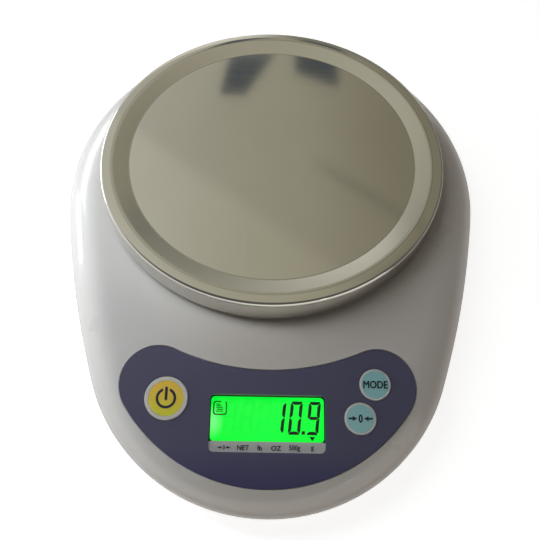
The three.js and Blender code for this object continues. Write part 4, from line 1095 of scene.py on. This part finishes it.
def keys():
    rise = 0.6
    looks = {"power": "key_yellow", "mode": "key_teal", "zero": "key_teal"}
    for name, (x, y, radius) in KEYS.items():
        body = f"key_{name}"
        face = radius * (0.82 if name == "power" else 0.89)
        rim = [(0, -4.5), (2.2, -4.5), (2.2, -4.2), (radius + 1, -4.2), (radius + 1, -3.4), (radius, -3.4),
               *arc(radius - 0.35, rise - 0.35, 0.35, 0, 90, 6), (face + 0.12, rise), (face, rise - 0.1),
               (face, rise - 0.35), (0, rise - 0.35)]
        place = PANEL @ Matrix.Translation((x, y, 0))
        piece(f"{body}_rim", turned(rim, 96), KEY_RIM, body, body, slot=looks[name], place=place)
        cap = [(0, rise - 0.3), (face - 0.05, rise - 0.3), (face - 0.05, rise - 0.12),
               (face - 0.2, rise - 0.02), (face * 0.6, rise), (0, rise)]
        piece(f"{body}_face", turned(cap, 96), looks[name], body, place=place)
    depth = -rise - 0.02
    marks = {"power": power_mark(*KEYS["power"][:2], depth),
             "mode": flat_text("MODE", 2.8, depth, *KEYS["mode"][:2], 0.15, 0.84),
             "zero": arrow_zero(2.9, depth, *KEYS["zero"][:2], 0.2)}
    for name, mark in marks.items():
        piece(f"key_{name}_mark", mark, PRINT_DARK, f"key_{name}", slot=looks[name], place=PANEL)


# Batteries, seen when the door is off

def batteries():
    """Two cells lying side by side, pointing opposite ways, each with a sleeve and a copper end."""
    wrap, shoulder, tip = 36, 49, 50.5
    sleeve = [(0, 0.2), (6.4, 0.2), (6.7, 0), (CELL_RADIUS, 0.5), (CELL_RADIUS, wrap), (0, wrap)]
    end = [(0, wrap + 0.02), (CELL_RADIUS, wrap + 0.02), (CELL_RADIUS, shoulder - 0.6), (6.7, shoulder),
           (2.75, shoulder), (2.75, tip - 0.3), (2.4, tip), (0, tip)]
    lying = Matrix.Translation((-23.5, 0, 0)) @ Matrix.Rotation(math.pi / 2, 4, "Y")
    for i, (side, turn) in enumerate(((1, 0), (-1, math.pi)), 1):
        middle = Matrix.Translation((0, BAY_Y - side * CELL_PITCH / 2, CELL_HEIGHT))
        place = middle @ Matrix.Rotation(turn, 4, "Z") @ lying
        piece(f"battery_sleeve_{i}", turned(sleeve, 64), "battery_wrap", "housing", f"battery_{i}",
              place=place)
        piece(f"battery_end_{i}", turned(end, 64), COPPER, "housing", slot="battery_wrap", place=place)


top_cover()
label()
base()
battery_door()
feet()
screws()
steel_platter()
carrier()
load_cell()
display()
keys()
batteries()

# Finishes of the pieces kept from the solids

slots = {entry["node"]: entry["material_slot"] for entry in frame["record"]["subparts"]}
for name, obj in nodes.items():
    obj.data.materials.clear()
    obj.data.materials.append(LOOKS[slots[name]])

# Studio


def stage_plane(name, size, place, look):
    """A square of the studio, with half its side as its size, in metres."""
    bm = edit()
    bmesh.ops.create_grid(bm, x_segments=1, y_segments=1, size=size)
    obj = linked(name, closed(placed(bm, place), name))
    obj.data.materials.append(look)
    return obj


def floor_look():
    """Pale floor that reaches white for the camera, keeps the shadow and is clear from below."""
    made = Finish("pale floor", roughness=0.9, emission_strength=1.0)
    made.feed("Base Color", made.mix(made.noise(4, 2), (0.80, 0.80, 0.80), (0.82, 0.82, 0.82)))
    glow = made.mix(made.seen(), (0.20, 0.19, 0.175), (0.80, 0.80, 0.80))
    made.feed("Emission Color", made.mix(made.ray("Glossy"), glow, (0.22, 0.21, 0.20)))
    made.feed("Alpha", 1 - made.node("ShaderNodeNewGeometry", output="Backfacing"))
    return made.material


def card_look(name, paint):
    """A card that only gives back its own even light."""
    made = Finish(name, roughness=1.0, emission_strength=1.0, base_color=(0, 0, 0), specular_ior_level=0.0)
    made.feed("Emission Color", paint(made))
    return made.material


def card(name, size, place, paint):
    """A studio card that shows only in glossy surfaces."""
    obj = stage_plane(name, size, place, card_look(name, paint))
    obj.visible_camera = obj.visible_diffuse = obj.visible_shadow = obj.visible_transmission = False


def ceiling_paint(made):
    """Light to the left, dim to the right and overhead, with two dark flags at the far side."""
    x, y = made.across_and_along()
    near = made.mix(x.step(-0.34, 0.04), (0.66, 0.65, 0.57), (0.49, 0.475, 0.375))
    tone = made.mix(x.step(0.0, 0.32), near, (0.31, 0.285, 0.21))
    slant = y + x * 0.79
    tone = made.mix(slant.step(0.53, 0.58) * 0.2, tone, (0.2, 0.19, 0.15))
    line = (y + x * 0.756 - 0.781).math("ABSOLUTE")
    tone = made.mix((1 - line.step(0.0, 0.025)) * x.step(0.07, 0.14) * 0.35, tone, (0.1, 0.1, 0.08))
    left_flag = (x - y * 0.15 + 0.253).step(0, 0.01) * (y * 0.5 - 0.497 - x).step(0, 0.012)
    left_flag = left_flag * y.step(0.889, 0.901)
    right_flag = x.step(0.048, 0.068) * (0.168 - x).step(0, 0.02) * (y + x * 0.44).step(0.985, 1.002)
    tone = made.mix((left_flag + right_flag) * 0.95, tone, (0.06, 0.075, 0.095))
    far = made.mix(x.step(-0.09, 0.09), (0.88, 0.86, 0.77), (0.26, 0.26, 0.21))
    tone = made.mix(y.step(1.03, 1.06), tone, far)
    tone = made.mix(1 - y.step(0.12, 0.3), tone, (0.13, 0.125, 0.12))
    return made.mix(1 - x.step(-1.9, -0.5), tone, (1, 1, 1))


def dim_paint(made):
    return made.mix(made.noise(3, 2), (0.17, 0.15, 0.13), (0.2, 0.18, 0.16))


def soft_paint(made):
    return made.mix(made.noise(3, 2), (0.95, 0.91, 0.86), (1.1, 1.06, 1.0))


def window_paint(made):
    return made.mix(made.noise(9, 2), (4.4, 4.6, 4.8), (5.0, 5.2, 5.4))


def facing(x, y, z):
    """The place of a card whose face looks at the middle of the scale."""
    place = Vector((x, y, z))
    return Matrix.Translation(place) @ (-place).to_track_quat("Z", "Y").to_matrix().to_4x4()


stage_plane("floor", 6, Matrix.Identity(4), floor_look())
card("ceiling card", 2.0, Matrix.Translation((0, 0.9, 0.9)), ceiling_paint)
card("right card", 0.9, facing(1.1, 0.3, 0.3), dim_paint)
card("front card", 0.9, facing(0.45, -1.0, 0.4), soft_paint)
card("window card", 0.14, facing(-0.76, 0.62, 0.34) @ Matrix.Diagonal((1.6, 1, 1, 1)), window_paint)
card("low window card", 0.07, facing(-0.56, 0.2, 0.06), window_paint)
card("small card", 0.03, facing(0.48, -0.77, 0.79), window_paint)

bpy.context.scene.view_settings.view_transform = "Standard"
world = bpy.data.worlds.new("studio")
bpy.context.scene.world = world
air = Graph(world, "Background")
heading = air.node("ShaderNodeTexCoord", output="Generated")
height = Wire(air, air.node("ShaderNodeSeparateXYZ", (), {0: heading}).socket.node.outputs[2])
sky = air.mix(height.step(0.1, 0.25), (2.0, 1.86, 1.71), (0.03, 0.027, 0.025))
air.feed("Color", air.mix(air.seen(), sky, (1, 1, 1)))


def lamp(name, size, power, place, target, tint):
    data = bpy.data.lights.new(name, "AREA")
    data.shape = "RECTANGLE"
    data.size, data.size_y = size
    data.energy = power
    data.color = tint
    obj = linked(name, data)
    obj.location = place
    obj.rotation_euler = (Vector(target) - Vector(place)).to_track_quat("-Z", "Y").to_euler()
    obj.visible_camera = obj.visible_glossy = False


lamp("left strip light", (0.1, 0.6), 1.0, (-0.24, 0.03, 0.215), (-0.04, 0.0, 0.03), (0.95, 0.98, 1))
